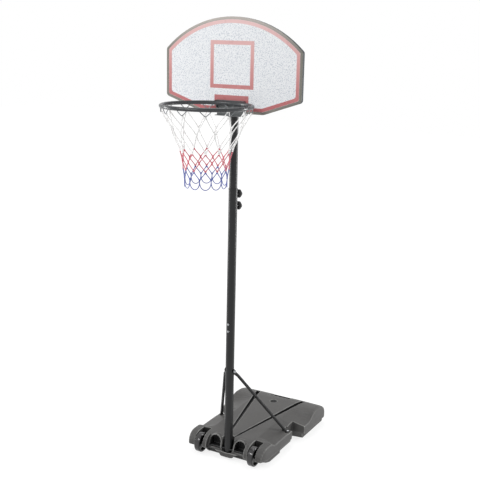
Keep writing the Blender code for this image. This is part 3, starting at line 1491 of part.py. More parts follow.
def build_rim_bracket():
    """Pressed plate on the board, two gussets and a top plate that cradle the ring's back."""
    half = RIM_PLATE_HALF_WIDTH
    top = HOOP_HEIGHT + HOOP_TUBE / 2 + GAP + RIM_PLATE_THICKNESS
    plate = box_mesh("rim_plate", (-half, -RIM_PLATE_FACE, RIM_PLATE_FOOT), (half, -RIM_PLATE_BACK, top))
    bracket = add_part("rim_bracket", plate, HOOP_PAINT)
    ring_back = HOOP_REACH - sqrt(HOOP_RADIUS**2 - half**2)
    weld = RIM_PLATE_THICKNESS / 2
    cover = box_mesh(
        "rim_cover",
        (-half + GAP, -(HOOP_REACH - HOOP_RADIUS), top - RIM_PLATE_THICKNESS - GAP),
        (half - GAP, -RIM_PLATE_BACK - weld, top - GAP),
    )
    boolean(bracket, add_cutter("rim_cover", cover), "UNION")
    flange = box_mesh(
        "rim_flange",
        (-half + GAP, -RIM_PLATE_FACE - RIM_FLANGE, RIM_PLATE_FOOT + GAP),
        (half - GAP, -RIM_PLATE_BACK - weld, RIM_PLATE_FOOT + GAP + RIM_PLATE_THICKNESS),
    )
    boolean(bracket, add_cutter("rim_flange", flange), "UNION")
    gusset_foot = HOOP_HEIGHT - RIM_GUSSET_DROP
    profile = [
        (-RIM_PLATE_BACK - weld, top - 2 * GAP),
        (-ring_back, top - 2 * GAP),
        (-ring_back, HOOP_HEIGHT),
        (-RIM_PLATE_FACE, gusset_foot),
        (-RIM_PLATE_BACK - weld, gusset_foot),
    ]
    for side, label in ((-1, "left"), (1, "right")):
        faces = (side * (half - 2 * GAP), side * (half - 2 * GAP - RIM_PLATE_THICKNESS))
        gusset = loft_mesh("rim_gusset", [[(x, y, z) for y, z in profile] for x in faces])
        boolean(bracket, add_cutter(f"rim_gusset_{label}", gusset), "UNION")
    seat = torus_mesh("ring_seat", HOOP_RADIUS, HOOP_TUBE / 2 + GAP)
    boolean(bracket, add_cutter("ring_seat", seat, (0, -HOOP_REACH, HOOP_HEIGHT)))
    rim_bolt_hole(bracket, "rim_bolt_hole")
    length = RIM_PLATE_FACE - PLATE_BACK + 2 * GAP + nut_height(RIM_BOLT_DIAMETER) + BOLT_OVERLENGTH
    for side, label in ((-1, "left"), (1, "right")):
        x = side * RIM_BOLT_X
        head_seat = (x, -RIM_PLATE_FACE - GAP, RIM_BOLT_HEIGHT)
        nut_seat = (x, -PLATE_BACK + GAP, RIM_BOLT_HEIGHT)
        add_bolt(f"rim_bolt_{label}", RIM_BOLT_DIAMETER, length, head_seat, "-Y")
        add_nut(f"rim_nut_{label}", RIM_BOLT_DIAMETER, nut_seat, "+Y")


build_hoop()
build_rim_bracket()


# Net


def net_lattice(name):
    """Diamond meshes of cord between the rows of knots, as faces for the Wireframe modifier."""

    def knot(level, column):
        drop, radius = NET_LEVELS[level]
        angle = hook_angle(column / 2)
        return Vector((radius * cos(angle), radius * sin(angle), HOOP_HEIGHT - drop))

    def build(shape):
        verts = {}

        def vert(level, column):
            key = level, column % (2 * HOOK_COUNT)
            if key not in verts:
                verts[key] = shape.verts.new(knot(*key))
            return verts[key]

        for level in range(len(NET_LEVELS) - 2):
            for k in range(HOOK_COUNT):
                column = 2 * k + level % 2
                sides = vert(level + 1, column - 1), vert(level + 1, column + 1)
                top, foot = vert(level, column), vert(level + 2, column)
                shape.faces.new((top, sides[0], foot, sides[1]))

    return mesh_from(name, build)


def build_net():
    centre = (0, -HOOP_REACH, 0)
    net = add_part("net", net_lattice("net"), WHITE_CORD, centre)
    wire = net.modifiers.new("cord", "WIREFRAME")
    wire.thickness = NET_CORD
    wire.use_boundary = True
    wire.use_replace = True
    wire.use_even_offset = False
    wire.offset = 0


build_net()
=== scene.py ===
"""A portable basketball stand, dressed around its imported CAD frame. Metres, +Z up, hoop towards -Y."""

import json
import math

import bmesh
import bpy
from mathutils import Matrix, Vector


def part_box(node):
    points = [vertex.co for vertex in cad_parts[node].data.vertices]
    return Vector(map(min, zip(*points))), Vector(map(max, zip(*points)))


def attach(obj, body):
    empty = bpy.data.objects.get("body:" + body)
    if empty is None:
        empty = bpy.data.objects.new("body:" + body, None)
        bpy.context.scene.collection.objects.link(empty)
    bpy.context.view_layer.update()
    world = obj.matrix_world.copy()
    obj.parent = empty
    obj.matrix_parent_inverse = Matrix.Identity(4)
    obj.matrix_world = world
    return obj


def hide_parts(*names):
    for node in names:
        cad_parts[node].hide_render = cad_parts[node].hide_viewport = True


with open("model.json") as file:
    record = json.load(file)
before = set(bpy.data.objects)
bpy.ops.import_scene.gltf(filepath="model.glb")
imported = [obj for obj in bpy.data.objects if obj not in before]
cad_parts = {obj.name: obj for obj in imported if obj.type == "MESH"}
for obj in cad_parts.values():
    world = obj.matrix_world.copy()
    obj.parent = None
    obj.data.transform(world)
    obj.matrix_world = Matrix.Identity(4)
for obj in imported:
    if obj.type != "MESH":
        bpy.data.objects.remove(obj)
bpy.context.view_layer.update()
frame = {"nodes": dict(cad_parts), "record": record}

# The stand is photographed from its front right, four metres off, with the lens nearly as high as
# the top of the board and tipped down. Heights are counted from the underside of the base's raised
# front, a little above the floor, and distances from the middle of the pole.

lower_pole_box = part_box("lower_pole")
pole_y = (lower_pole_box[0][1] + lower_pole_box[1][1]) / 2
floor_lift = 0.006
camera_place = (2.0207, pole_y - 3.5612, 2.1119 + floor_lift)
camera_yaw = 0.5070
camera_pitch = 0.2345
camera_roll = 0.0207
photo_width = 480
focal_pixels = 876.8

camera_data = bpy.data.cameras.new("photograph_camera")
camera_data.sensor_width = 36
camera_data.lens = focal_pixels / photo_width * camera_data.sensor_width
camera_data.clip_end = 60
camera = bpy.data.objects.new("photograph_camera", camera_data)
bpy.context.scene.collection.objects.link(camera)
camera.location = camera_place
camera.rotation_euler = (
    Matrix.Rotation(camera_yaw, 3, "Z")
    @ Matrix.Rotation(math.pi / 2 - camera_pitch, 3, "X")
    @ Matrix.Rotation(camera_roll, 3, "Z")
).to_euler()
bpy.context.scene.camera = camera

# The studio is a white floor that runs on as the backdrop. A soft box hangs overhead and one stands
# in front, and two tall narrow ones at the sides draw long pale streaks down the pole.

room_light = 0.46
floor_size = 30
floor_below = 0.0005
soft_boxes = (
    ("overhead_box", (-0.6, 1.4, 4.2), (0.0, 0.1, 0.2), (2.0, 2.0), 38),
    ("front_box", (-1.1, -3.5, 3.6), (0.0, 0.0, 0.9), (2.4, 0.8), 76),
    ("left_box", (-2.9, -0.7, 1.5), (0.0, -0.1, 1.1), (0.4, 2.4), 44),
    ("right_box", (2.4, 2.1, 1.5), (0.0, 0.0, 1.1), (0.4, 2.4), 62),
)


def linear(hex_colour):
    """The linear colour of an sRGB hex value such as "3A3B3D"."""
    channels = [int(hex_colour[i : i + 2], 16) / 255 for i in (0, 2, 4)]
    return [c / 12.92 if c <= 0.04045 else ((c + 0.055) / 1.055) ** 2.4 for c in channels] + [1]


def add_node(tree, kind, links=None, **settings):
    """One shader node with its settings, its inputs given as values or as other nodes' outputs."""
    node = tree.nodes.new("ShaderNode" + kind)
    for name, value in settings.items():
        setattr(node, name, value)
    for socket, value in (links or {}).items():
        if isinstance(value, bpy.types.NodeSocket):
            tree.links.new(value, node.inputs[socket])
        else:
            node.inputs[socket].default_value = value
    return node


def empty_material(name):
    """A material whose node tree is still bare, with that tree."""
    material = bpy.data.materials.new(name)
    material.use_nodes = True
    material.node_tree.nodes.clear()
    return material, material.node_tree


def shown_rays(tree):
    """1 for the rays that show the backdrop: camera, glossy and transmission rays."""
    path = add_node(tree, "LightPath")
    seen = add_node(tree, "Math", {0: path.outputs["Is Camera Ray"], 1: path.outputs["Is Glossy Ray"]},
                    operation="MAXIMUM")
    return add_node(tree, "Math", {0: seen.outputs[0], 1: path.outputs["Is Transmission Ray"]},
                    operation="MAXIMUM").outputs[0]


def lay_floor():
    """Painted white. It is shown as white paper that keeps the stand's shadow, far end and all."""
    material, tree = empty_material("white_studio_floor")
    paint = add_node(tree, "BsdfDiffuse", {"Color": linear("E6E6E6")})
    shown_paint = add_node(tree, "BsdfDiffuse", {"Color": linear("8E8E8E")})
    place = add_node(tree, "TexCoord").outputs["Object"]
    from_stand = add_node(tree, "VectorMath", {0: place}, operation="LENGTH").outputs["Value"]
    glow = add_node(tree, "MapRange", {"Value": from_stand, "From Min": 1.0, "From Max": 4.0,
                                      "To Min": 0.80, "To Max": 0.97})
    lift = add_node(tree, "Emission", {"Color": linear("FFFFFF"), "Strength": glow.outputs[0]})
    shown = add_node(tree, "AddShader", {0: shown_paint.outputs[0], 1: lift.outputs[0]})
    mixed = add_node(tree, "MixShader", {0: shown_rays(tree), 1: paint.outputs[0], 2: shown.outputs[0]})
    add_node(tree, "OutputMaterial", {"Surface": mixed.outputs[0]})
    bpy.ops.mesh.primitive_plane_add(size=floor_size, location=(0, 0, -floor_below))
    floor = bpy.context.object
    floor.name = "studio_floor"
    floor.data.materials.append(material)


def light_studio():
    """The white room, and the soft boxes, each aimed at its own height of the stand."""
    world = bpy.data.worlds.new("white_studio")
    world.use_nodes = True
    tree = world.node_tree
    tree.nodes.clear()
    room = add_node(tree, "Background", {"Color": linear("FFFFFF"), "Strength": room_light})
    backdrop = add_node(tree, "Background", {"Color": linear("FFFFFF"), "Strength": 1.0})
    mixed = add_node(tree, "MixShader", {0: shown_rays(tree), 1: room.outputs[0], 2: backdrop.outputs[0]})
    add_node(tree, "OutputWorld", {"Surface": mixed.outputs[0]})
    bpy.context.scene.world = world
    for name, place, target, size, watts in soft_boxes:
        light = bpy.data.lights.new(name, "AREA")
        light.shape = "RECTANGLE"
        light.size, light.size_y = size
        light.energy = watts
        holder = bpy.data.objects.new(name, light)
        holder.visible_camera = False
        bpy.context.scene.collection.objects.link(holder)
        holder.location = place
        holder.rotation_euler = (Vector(target) - Vector(place)).to_track_quat("-Z", "Y").to_euler()


bpy.context.scene.view_settings.view_transform = "Standard"
lay_floor()
light_studio()

# The base is a hollow tank for water or sand. It is blow-moulded in one piece from dark grey
# polyethylene, so all its edges are round, and its skin keeps the fine grain of the mould.

bodies = frame["record"]["behaviour"]["bodies"]
body_of = {node: body for body, nodes in bodies.items() for node in nodes}
patches_per_metre = 14
skin_voxel = 0.0020
skin_smoothing = 14
painted_shade_reach = 0.045
SHARE, LOW, HIGH, MIXED = 0, 6, 7, 2  # the colour sockets of the Mix node, which share their names


def grained_finish(name, colour, worn, roughness, grain_mm, depth_mm, gloss_drift=0.06, tones=None,
                   sockets=None):
    """A colour that drifts in patches to its worn tone, as its gloss does, over a fine grain.

    A moulded or coated skin has grains of 0.2 to 0.5 mm. grain_mm is coarser, so that they show.
    tones(tree, place, body) adds what changes over the piece, and sockets sets other inputs.
    """
    material, tree = empty_material(name)
    place = add_node(tree, "TexCoord").outputs["Object"]
    grain = add_node(tree, "TexNoise", {"Vector": place, "Scale": 1000 / grain_mm, "Detail": 2.0})
    bump = add_node(tree, "Bump", {"Height": grain.outputs["Fac"], "Strength": 0.5,
                                   "Distance": depth_mm / 1000})
    patches = add_node(tree, "TexNoise", {"Vector": place, "Scale": patches_per_metre, "Detail": 4.0})
    gloss = add_node(tree, "MapRange", {"Value": patches.outputs["Fac"], "From Min": 0.3, "From Max": 0.7,
                                       "To Min": roughness - gloss_drift, "To Max": roughness + gloss_drift})
    body = add_node(tree, "Mix", {SHARE: patches.outputs["Fac"], LOW: linear(colour), HIGH: linear(worn)},
                    data_type="RGBA").outputs[MIXED]
    shader = add_node(tree, "BsdfPrincipled", {"Base Color": tones(tree, place, body) if tones else body,
                                              "Roughness": gloss.outputs[0], "Normal": bump.outputs[0],
                                              **(sockets or {})})
    add_node(tree, "OutputMaterial", {"Surface": shader.outputs[0]})
    return material


def painted_edge_light_and_hollow_shade(tree, place, body):
    """Painted light: the body's colour made pale along its outer edges as a highlight, and painted shade dark
    deep in its channels.
    """
    bend = add_node(tree, "NewGeometry").outputs["Pointiness"]
    # a painted highlight along the outer edges
    painted_edge_light = add_node(tree, "MapRange", {"Value": bend, "From Min": 0.508, "From Max": 0.545, "To Max": 0.8})
    edge_lit = add_node(tree, "Mix", {SHARE: painted_edge_light.outputs[0], LOW: body, HIGH: linear("A4A4A2")},
                     data_type="RGBA").outputs[MIXED]
    # painted shade in the channels and hollows, from occlusion
    occlusion = add_node(tree, "AmbientOcclusion", {"Distance": painted_shade_reach}, samples=8, only_local=True)
    open_air = add_node(tree, "MapRange", {"Value": occlusion.outputs["AO"], "From Min": 0.52, "From Max": 0.96})
    return add_node(tree, "Mix", {SHARE: open_air.outputs[0], LOW: linear("1A1A1B"), HIGH: edge_lit},
                    data_type="RGBA").outputs[MIXED]


def new_piece(name, mesh, material, body, *stands_for):
    """A piece of mesh or curve in its material, which rides on a body and may stand for CAD nodes."""
    piece = bpy.data.objects.new(name, mesh)
    bpy.context.scene.collection.objects.link(piece)
    piece.data.materials.clear()
    piece.data.materials.append(material)
    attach(piece, body)
    if stands_for:
        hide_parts(*stands_for)
    return piece


def work_in_modifiers(piece):
    """Makes the shape that the piece's modifiers give it its own mesh."""
    bpy.context.view_layer.update()
    depsgraph = bpy.context.evaluated_depsgraph_get()
    mesh = bpy.data.meshes.new_from_object(piece.evaluated_get(depsgraph))
    piece.modifiers.clear()
    piece.data = mesh


def mould_tank():
    """The CAD tank with a closed, softened skin."""
    tank = new_piece("moulded_tank", frame["nodes"]["base_tank"].data.copy(), blown_polyethylene,
                     "base", "base_tank")
    skin = tank.modifiers.new("skin", "REMESH")
    skin.mode = "VOXEL"
    skin.voxel_size = skin_voxel
    skin.use_smooth_shade = True
    soften = tank.modifiers.new("rounded_edges", "SMOOTH")
    soften.factor = 0.5
    soften.iterations = skin_smoothing
    work_in_modifiers(tank)
    tank.data.materials.clear()
    tank.data.materials.append(blown_polyethylene)


# Waxy and half matt: broad soft lights, a painted highlight pale along the edges, and painted shade that
# takes the channels to near black.
blown_polyethylene = grained_finish("blown_polyethylene", "464544", "504F4E", roughness=0.48, grain_mm=1.6,
                                    depth_mm=0.10, tones=painted_edge_light_and_hollow_shade,
                                    sockets={"Specular IOR Level": 0.32})
mould_tank()

# Two wheels of hard black polypropylene turn on a steel rod through the base's fenders, and touch
# the floor only when the stand is tipped. Like them, the cap on the rod's end, the plug in the
# tank and the cap on the pole are injection moulded.

weld_distance = 0.00002
flat_angle = math.radians(1)
sharp_angle = math.radians(32)


def finished(node, material, edge_mm=0):
    """Stands for the node: its own shape, with smooth curves and, by edge_mm, rounded hard edges."""
    shape = bmesh.new()
    shape.from_mesh(frame["nodes"][node].data)
    bmesh.ops.remove_doubles(shape, verts=shape.verts, dist=weld_distance)
    bmesh.ops.dissolve_limit(shape, angle_limit=flat_angle, verts=shape.verts, edges=shape.edges)
    mesh = bpy.data.meshes.new("finished_" + node)
    shape.to_mesh(mesh)
    shape.free()
    mesh.attributes.remove(mesh.attributes["custom_normal"])
    piece = new_piece("finished_" + node, mesh, material, body_of[node], node)
    if edge_mm:
        rounding = piece.modifiers.new("rounded_edges", "BEVEL")
        rounding.width = edge_mm / 1000
        rounding.segments = 2
        rounding.limit_method = "ANGLE"
        rounding.angle_limit = sharp_angle
        work_in_modifiers(piece)
    piece.data.shade_smooth()
    piece.data.set_sharp_from_angle(angle=sharp_angle)


def painted_side_shade(tree, place, body):
    """Painted shade: black on the wheel's flat sides, and the body's grey round its tread."""
    facing = add_node(tree, "NewGeometry").outputs["Normal"]
    along_axle = add_node(tree, "SeparateXYZ", {0: facing}).outputs["X"]
    sideways = add_node(tree, "Math", {0: along_axle}, operation="ABSOLUTE")
    side_shade = add_node(tree, "MapRange", {"Value": sideways.outputs[0], "From Min": 0.3, "From Max": 0.7})
    # painted shade on the sides that face along the axle
    return add_node(tree, "Mix", {SHARE: side_shade.outputs[0], LOW: body, HIGH: linear("060607")},
                    data_type="RGBA").outputs[MIXED]


# Harder and glossier than the tank: small sharp lights, a grey tread, and painted shade that turns the flat
# sides black.
moulded_polypropylene = grained_finish("moulded_polypropylene", "2B2A2B", "363536", roughness=0.13,
                                       grain_mm=2.5, depth_mm=0.02, gloss_drift=0.03, tones=painted_side_shade)
for node in ("wheel_left", "wheel_right"):
    finished(node, moulded_polypropylene, edge_mm=0.8)

# From a spark-eroded mould, whose fine grain takes nearly all the shine: plain matt black.
matt_polypropylene = grained_finish("matt_polypropylene", "0C0C0D", "131314", roughness=0.55, grain_mm=1.5,
                                    depth_mm=0.06, sockets={"Specular IOR Level": 0.2})
for node in ("axle_cap", "fill_plug", "pole_cap"):
    finished(node, matt_polypropylene, edge_mm=0.5)

# The pole is three lengths of round steel tube, plugged one into the next and powder coated black.
# Two thin tube struts, flattened and bolted at both ends, brace it to the base's waist.

# A slight orange peel, which softens the side lights to long streaks.
powder_coat = grained_finish("black_powder_coat", "0C0D0E", "121315", roughness=0.34, grain_mm=1.2,
                             depth_mm=0.02, sockets={"Specular IOR Level": 0.4})
for node in ("lower_pole", "middle_pole", "upper_pole", "strut_left", "strut_right", "axle_rod"):
    finished(node, powder_coat)

# The bolts, nuts, screws and studs are headed or turned from steel and plated with zinc. They hold
# the struts, the tubes, the board and the hoop.

# A thin bright skin, which has dulled in patches where hands and spanners touched it.
zinc_plate = grained_finish("zinc_plate", "B9BBBD", "9EA0A2", roughness=0.32, grain_mm=3.0, depth_mm=0.02,
                            sockets={"Metallic": 1.0})
for node in frame["nodes"]:
    if any(fastener in node for fastener in ("bolt", "nut", "screw", "stud")):
        finished(node, zinc_plate)

# Two star knobs of black nylon, moulded over the heads of their studs, press on the top tube
# through the back of the middle one, and so clamp it at the height that is wanted.

# Dry and satin, a shade paler than the coated tube behind it.
moulded_nylon = grained_finish("moulded_nylon", "131314", "1C1C1D", roughness=0.33, grain_mm=1.5,
                               depth_mm=0.05)
for node in ("knob_lower", "knob_upper"):
    finished(node, moulded_nylon, edge_mm=0.8)

# The backboard is a blow-moulded frame with a shallow recess in its face and ribs behind. A bent
# strap and a lower bracket, both of pressed steel and zinc coated, bolt it to the top tube.

board_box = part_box("backboard_shell")
panel_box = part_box("backboard_panel")
panel_face = panel_box[0][1]
board_foot, board_top = board_box[0][2], board_box[1][2]
lip_rear, lip_front = panel_face + 0.003, panel_face + 0.001
head_light_reach = 0.14


def painted_lit_lip(tree, place, body):
    """Painted light: the body's colour at the sides and back, and a lip in front painted lighter as lit,
    palest towards the head where the light from above falls.
    """
    depth = add_node(tree, "SeparateXYZ", {0: place}).outputs["Y"]
    front = add_node(tree, "MapRange", {"Value": depth, "From Min": lip_rear, "From Max": lip_front})
    height = add_node(tree, "SeparateXYZ", {0: place}).outputs["Z"]
    # painted light from above, paler towards the head
    head = add_node(tree, "MapRange", {"Value": height, "From Min": panel_box[1][2] - head_light_reach,
                                      "From Max": panel_box[1][2]})
    lit_lip = add_node(tree, "Mix", {SHARE: head.outputs[0], LOW: linear("7F7D76"), HIGH: linear("B6B0AA")},
                   data_type="RGBA").outputs[MIXED]
    return add_node(tree, "Mix", {SHARE: front.outputs[0], LOW: body, HIGH: lit_lip},
                    data_type="RGBA").outputs[MIXED]


# Dull and waxy: blue-black at the sides and back, and a warm grey lip in front painted lighter as though lit,
# palest at the head.
board_polyethylene = grained_finish("board_polyethylene", "2C3236", "363C40", roughness=0.5, grain_mm=1.4,
                                    depth_mm=0.08, tones=painted_lit_lip, sockets={"Specular IOR Level": 0.2})
finished("backboard_shell", board_polyethylene, edge_mm=1.2)

# A thick dull coat, which keeps only a low sheen of metal.
bracket_zinc = grained_finish("bracket_zinc", "5E5F60", "6C6D6E", roughness=0.38, grain_mm=1.2, depth_mm=0.04,
                              sockets={"Metallic": 0.6})
for node in ("upper_strap", "lower_bracket"):
    finished(node, bracket_zinc)

# The face is a thin sheet of extruded polystyrene, let into the frame's recess. It is printed all
# over with a fine blue-grey speckle.

speckle_mm = 4.6  # about twice as coarse as the real one, which would be lost in the render


def speckled_sheet():
    """Pale and a little glossy, so the speckle reads as a cool grey from a few steps away."""
    material, tree = empty_material("printed_polystyrene")
    place = add_node(tree, "TexCoord").outputs["Object"]
    speckle = add_node(tree, "TexNoise", {"Vector": place, "Scale": 1000 / speckle_mm, "Detail": 1.0})
    bare = add_node(tree, "MapRange", {"Value": speckle.outputs["Fac"], "From Min": 0.32, "From Max": 0.52})
    tint = add_node(tree, "Mix", {SHARE: bare.outputs[0], LOW: linear("BAC0C9"), HIGH: linear("ECEEF0")},
                    data_type="RGBA").outputs[MIXED]
    shader = add_node(tree, "BsdfPrincipled", {"Base Color": tint, "Roughness": 0.35})
    add_node(tree, "OutputMaterial", {"Surface": shader.outputs[0]})
    return material


finished("backboard_panel", speckled_sheet())

# A red border, a target square and a box behind the hoop are screen printed on the sheet. The ink
# is a film about a tenth of a millimetre thick.

ink_film = 0.00012
bezel_width = 0.012
bezel_gap = 0.0005
border_width = 0.0165
corner_radius = 0.012
corner_steps = 6
corner_share = 0.55
head_steps = 24
shoulder = 2.025 + floor_lift
cheek = 1.8055 + floor_lift
foot_half_width = 0.165
square_half_width = 0.114
square_low, square_high = 1.852 + floor_lift, 2.067 + floor_lift
square_line = 0.018
red_middle = square_low + 0.1
target_box_half_width = 0.090
target_box_top = 1.822 + floor_lift


def red_with_painted_sheen(tree, place, body):
    """The body's red at the foot of the board, paler by its middle and palest at its arched head: a painted
    sheen of the light from above.
    """
    height = add_node(tree, "SeparateXYZ", {0: place}).outputs["Z"]
    rise = add_node(tree, "MapRange", {"Value": height, "From Min": board_foot, "From Max": red_middle})
    # painted sheen, growing towards the head
    head = add_node(tree, "MapRange", {"Value": height, "From Min": red_middle, "From Max": board_top})
    lower = add_node(tree, "Mix", {SHARE: rise.outputs[0], LOW: body, HIGH: linear("CD9391")},
                     data_type="RGBA").outputs[MIXED]
    return add_node(tree, "Mix", {SHARE: head.outputs[0], LOW: lower, HIGH: linear("E4C2C1")},
                    data_type="RGBA").outputs[MIXED]


def rounded_corner(before, corner, after):
    """Points along the arc that rounds off a corner between its two neighbours."""
    here = Vector(corner)
    one = (Vector(before) - here).normalized()
    two = (Vector(after) - here).normalized()
    half = one.angle(two) / 2
    centre = here + (one + two).normalized() * corner_radius / math.sin(half)
    first = here + one * corner_radius / math.tan(half) - centre
    last = here + two * corner_radius / math.tan(half) - centre
    return [tuple(centre + first.slerp(last, k / corner_steps) * corner_radius)
            for k in range(corner_steps + 1)]


def board_line(inset):
    """The board's outline in (x, z), drawn in by inset: flat foot, slanted cheeks and arched head."""
    half = (board_box[1][0] - board_box[0][0]) / 2
    rise = board_top - shoulder
    radius = (half**2 + rise**2) / (2 * rise)
    centre = board_top - radius
    slant = Vector((half - foot_half_width, cheek - board_foot)).normalized()
    on_slant = Vector((half, cheek)) + Vector((-slant.y, slant.x)) * inset
    side, low = half - inset, board_foot + inset
    foot = (on_slant.x + (low - on_slant.y) * slant.x / slant.y, low)
    jaw = (side, on_slant.y + (side - on_slant.x) * slant.y / slant.x)
    arc = radius - inset
    reach = math.asin(side / arc)
    brow = Vector((side, centre + arc * math.cos(reach)))
    along_head = brow + Vector((-math.cos(reach), math.sin(reach)))
    right = rounded_corner((0, low), foot, jaw)
    right += rounded_corner(foot, jaw, brow)
    right += rounded_corner(jaw, brow, along_head)
    trim = reach - corner_radius * corner_share / arc
    for i in range(head_steps, 0, -1):
        turn = trim * i / head_steps
        right.append((arc * math.sin(turn), centre + arc * math.cos(turn)))
    return right + [(0, centre + arc)] + [(-x, z) for x, z in reversed(right)]


def rectangle(half_width, low, high):
    return [(-half_width, low), (half_width, low), (half_width, high), (-half_width, high)]


def print_ink(name, outer, inner=()):
    """A film of ink on the sheet: a band between two outlines in (x, z), or all of the outer one."""
    rear, front = panel_face, panel_face - ink_film
    outlines = [(outer, rear), (outer, front)]
    if inner:
        outlines += [(inner, front), (inner, rear)]
    shape = bmesh.new()
    rings = [[shape.verts.new((x, y, z)) for x, z in line] for line, y in outlines]
    for ring, following in zip(rings, rings[1:] + (rings[:1] if inner else [])):
        for i in range(len(outer)):
            shape.faces.new((ring[i - 1], ring[i], following[i], following[i - 1]))
    if not inner:
        for ring in rings:
            shape.faces.new(ring)
    bmesh.ops.recalc_face_normals(shape, faces=shape.faces)
    mesh = bpy.data.meshes.new(name)
    shape.to_mesh(mesh)
    shape.free()
    new_piece(name, mesh, red_ink, "mast")


# Thin and smooth, and painted paler towards the head as a sheen of the light from above.
red_ink = grained_finish("red_screen_ink", "B05C60", "B05C60", roughness=0.30, grain_mm=2.4, depth_mm=0.01,
                         tones=red_with_painted_sheen)
print_ink("ink_border", board_line(bezel_width + bezel_gap), board_line(bezel_width + border_width))
print_ink("ink_square", rectangle(square_half_width, square_low, square_high),
          rectangle(square_half_width - square_line, square_low + square_line, square_high - square_line))
print_ink("ink_box", rectangle(target_box_half_width, board_foot + bezel_width + border_width,
                               target_box_top))

# The hoop is a ring of bent steel tube, welded to a pressed steel bracket that bolts through the
# board. Both are powder coated, and twelve hooks of bright wire under the ring hold the net.

ring_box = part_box("rim_ring")
ring_centre = Vector(((ring_box[0][0] + ring_box[1][0]) / 2, (ring_box[0][1] + ring_box[1][1]) / 2, 0))
ring_tube = 0.018
ring_radius = (ring_box[1][0] - ring_box[0][0] - ring_tube) / 2
ring_height = ring_box[1][2] - ring_tube / 2
ring_steps = 144
bar_roundness = 4
hook_count = 12
hook_wire = 0.004
hook_half_width = 0.026
hook_drop = 0.028
hook_corners = ((-1, -0.2 * ring_tube), (-0.9, -0.5 * ring_tube), (-0.1, -hook_drop),
                (0.1, -hook_drop), (0.9, -0.5 * ring_tube), (1, -0.2 * ring_tube))
bend_rounds = 2


def round_bar(name, routes, radius, swells=None, closed=False):
    """Round wire, tube or cord along each route; swells gives its thickness at each point."""
    curve = bpy.data.curves.new(name, "CURVE")
    curve.dimensions = "3D"
    curve.bevel_depth = radius
    curve.bevel_resolution = bar_roundness
    curve.use_fill_caps = True
    for route in routes:
        spline = curve.splines.new("POLY")
        spline.use_cyclic_u = closed
        spline.points.add(len(route) - 1)
        for i, place in enumerate(route):
            spline.points[i].co = (*place, 1)
            spline.points[i].radius = swells[i] if swells else 1.0
    return curve


def around(angle, radius, height):
    """The place at this angle round the hoop's centre."""
    return ring_centre + Vector((radius * math.cos(angle), radius * math.sin(angle), height))


def bent(corners):
    """The line with its corners cut off again and again, as wire bends."""
    line = corners
    for _ in range(bend_rounds):
        cut = [line[0]]
        for a, b in zip(line, line[1:]):
            cut += [a.lerp(b, 0.25), a.lerp(b, 0.75)]
        line = cut + [line[-1]]
    return line


def bend_ring():
    """The ring of tube."""
    ring = [around(math.tau * i / ring_steps, ring_radius, ring_height) for i in range(ring_steps)]
    new_piece("hoop_ring", round_bar("hoop_ring", [ring], ring_tube / 2, closed=True), hoop_powder_coat,
              "mast", "rim_ring")


def bend_hooks():
    """Twelve wires, each bent to a V with its two ends welded under the ring."""
    hooks = []
    for number in range(hook_count):
        angle = math.tau * number / hook_count - math.pi / 2
        across = Vector((-math.sin(angle), math.cos(angle), 0))
        hooks.append(bent([around(angle, ring_radius, ring_height + drop) + across * hook_half_width * share
                           for share, drop in hook_corners]))
    new_piece("net_hooks", round_bar("net_hooks", hooks, hook_wire / 2), galvanised_wire, "mast")


# Thicker and glossier than on the pole: dark grey, with one clean light along the tube.
hoop_powder_coat = grained_finish("hoop_powder_coat", "2A2D30", "34373A", roughness=0.28, grain_mm=1.2,
                                  depth_mm=0.04)
# Drawn and hot dipped: a grey metal gleam with duller patches.
galvanised_wire = grained_finish("galvanised_wire", "85878A", "6C6E70", roughness=0.35, grain_mm=3.0,
                                 depth_mm=0.02, sockets={"Metallic": 1.0})
# The same coat over flat pressed steel, painted paler than on the ring as a stand-in for the room light its
# flat faces catch.
bracket_coat_painted_paler = grained_finish("bracket_coat_painted_paler", "55585A", "606364", roughness=0.34, grain_mm=1.2,
                                     depth_mm=0.04)
bend_ring()
bend_hooks()
finished("rim_bracket", bracket_coat_painted_paler)

# The net is knotted from braided nylon cord in three bands: white at the hooks, then red, then
# blue. Two cords leave each hook and are tied to their neighbours row by row, and open loops end
# them. The rows are given by their height and their distance from the hoop's middle.

net_rows = ((1.7590, 0.1968), (1.6720, 0.1530), (1.5880, 0.1160), (1.5480, 0.1080), (1.5080, 0.1020),
            (1.4700, 0.0980))
last_row = len(net_rows) - 1
loop_depth = 0.042
loop_fullness = 0.8
cord_steps = 10
cord_sway = 0.4
white_cord, dyed_cord = 0.0048, 0.0040
knot_swell = 1.7
knot_taper = 3.5


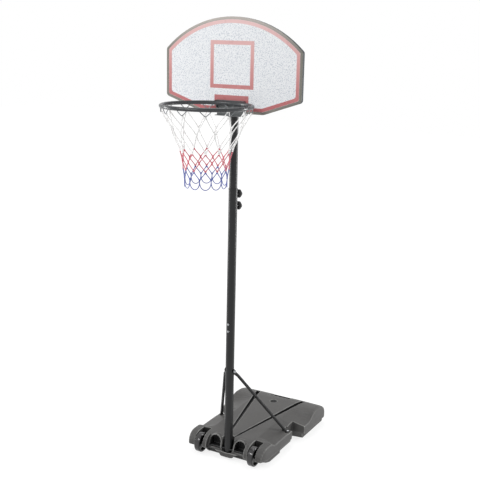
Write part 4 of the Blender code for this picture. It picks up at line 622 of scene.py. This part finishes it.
def braided_nylon(name, colour, shade):
    """Soft and dull, with a velvet rim of light from loose fibres. Its strands lie 1.5 mm apart."""
    return grained_finish(name, colour, shade, roughness=0.75, grain_mm=1.5, depth_mm=0.25,
                          sockets={"Sheen Weight": 1.0})


def knot_place(row, column):
    """The knot in this column of a row, with two columns to each hook."""
    height, radius = net_rows[row]
    return around(math.pi * column / hook_count - math.pi / 2, radius, height + floor_lift)


def slack_cord(row, column, step):
    """A cord from one knot to the next row's, which leaves and meets the knots nearly upright."""
    start, end = knot_place(row, column), knot_place(row + 1, column + step)
    line = []
    for i in range(cord_steps + 1):
        t = i / cord_steps
        eased = t * t * (3 - 2 * t)
        side = start.lerp(end, (1 - cord_sway) * t + cord_sway * eased)
        line.append(Vector((side.x, side.y, start.lerp(end, t).z)))
    return line


def end_loop(column):
    """The open loop of cord that hangs between two knots of the last row."""
    start, end = knot_place(last_row, column), knot_place(last_row, column + 2)
    line = []
    for i in range(2 * cord_steps + 1):
        turn = math.pi * i / (2 * cord_steps)
        drop = Vector((0, 0, loop_depth * math.sin(turn) ** loop_fullness))
        line.append(start.lerp(end, (1 - math.cos(turn)) / 2) - drop)
    return line


def knit_net():
    """One piece of cord for each band, and one for the loops; the white band stands for the net."""
    bands = (
        ("net_white", (0, 1), white_cord, braided_nylon("white_nylon", "FDFDFC", "F9F9F8")),
        ("net_red", (2, 3), dyed_cord, braided_nylon("red_nylon", "D9606F", "C95263")),
        ("net_blue", (4,), dyed_cord, braided_nylon("blue_nylon", "5364B4", "4253A2")),
    )
    from_knot = [min(i, cord_steps - i) / cord_steps for i in range(cord_steps + 1)]
    swells = [1 + (knot_swell - 1) * max(0, 1 - knot_taper * share) for share in from_knot]
    for name, rows, thickness, cord in bands:
        routes = [slack_cord(row, 2 * k + row % 2, step)
                  for row in rows for k in range(hook_count) for step in (-1, 1)]
        piece = new_piece(name, round_bar(name, routes, thickness / 2, swells), cord, "mast")
        if name == "net_white":
            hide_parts("net")
    loops = [end_loop(2 * k + last_row % 2) for k in range(hook_count)]
    new_piece("net_loops", round_bar("net_loops", loops, dyed_cord / 2), cord, "mast")


knit_net()
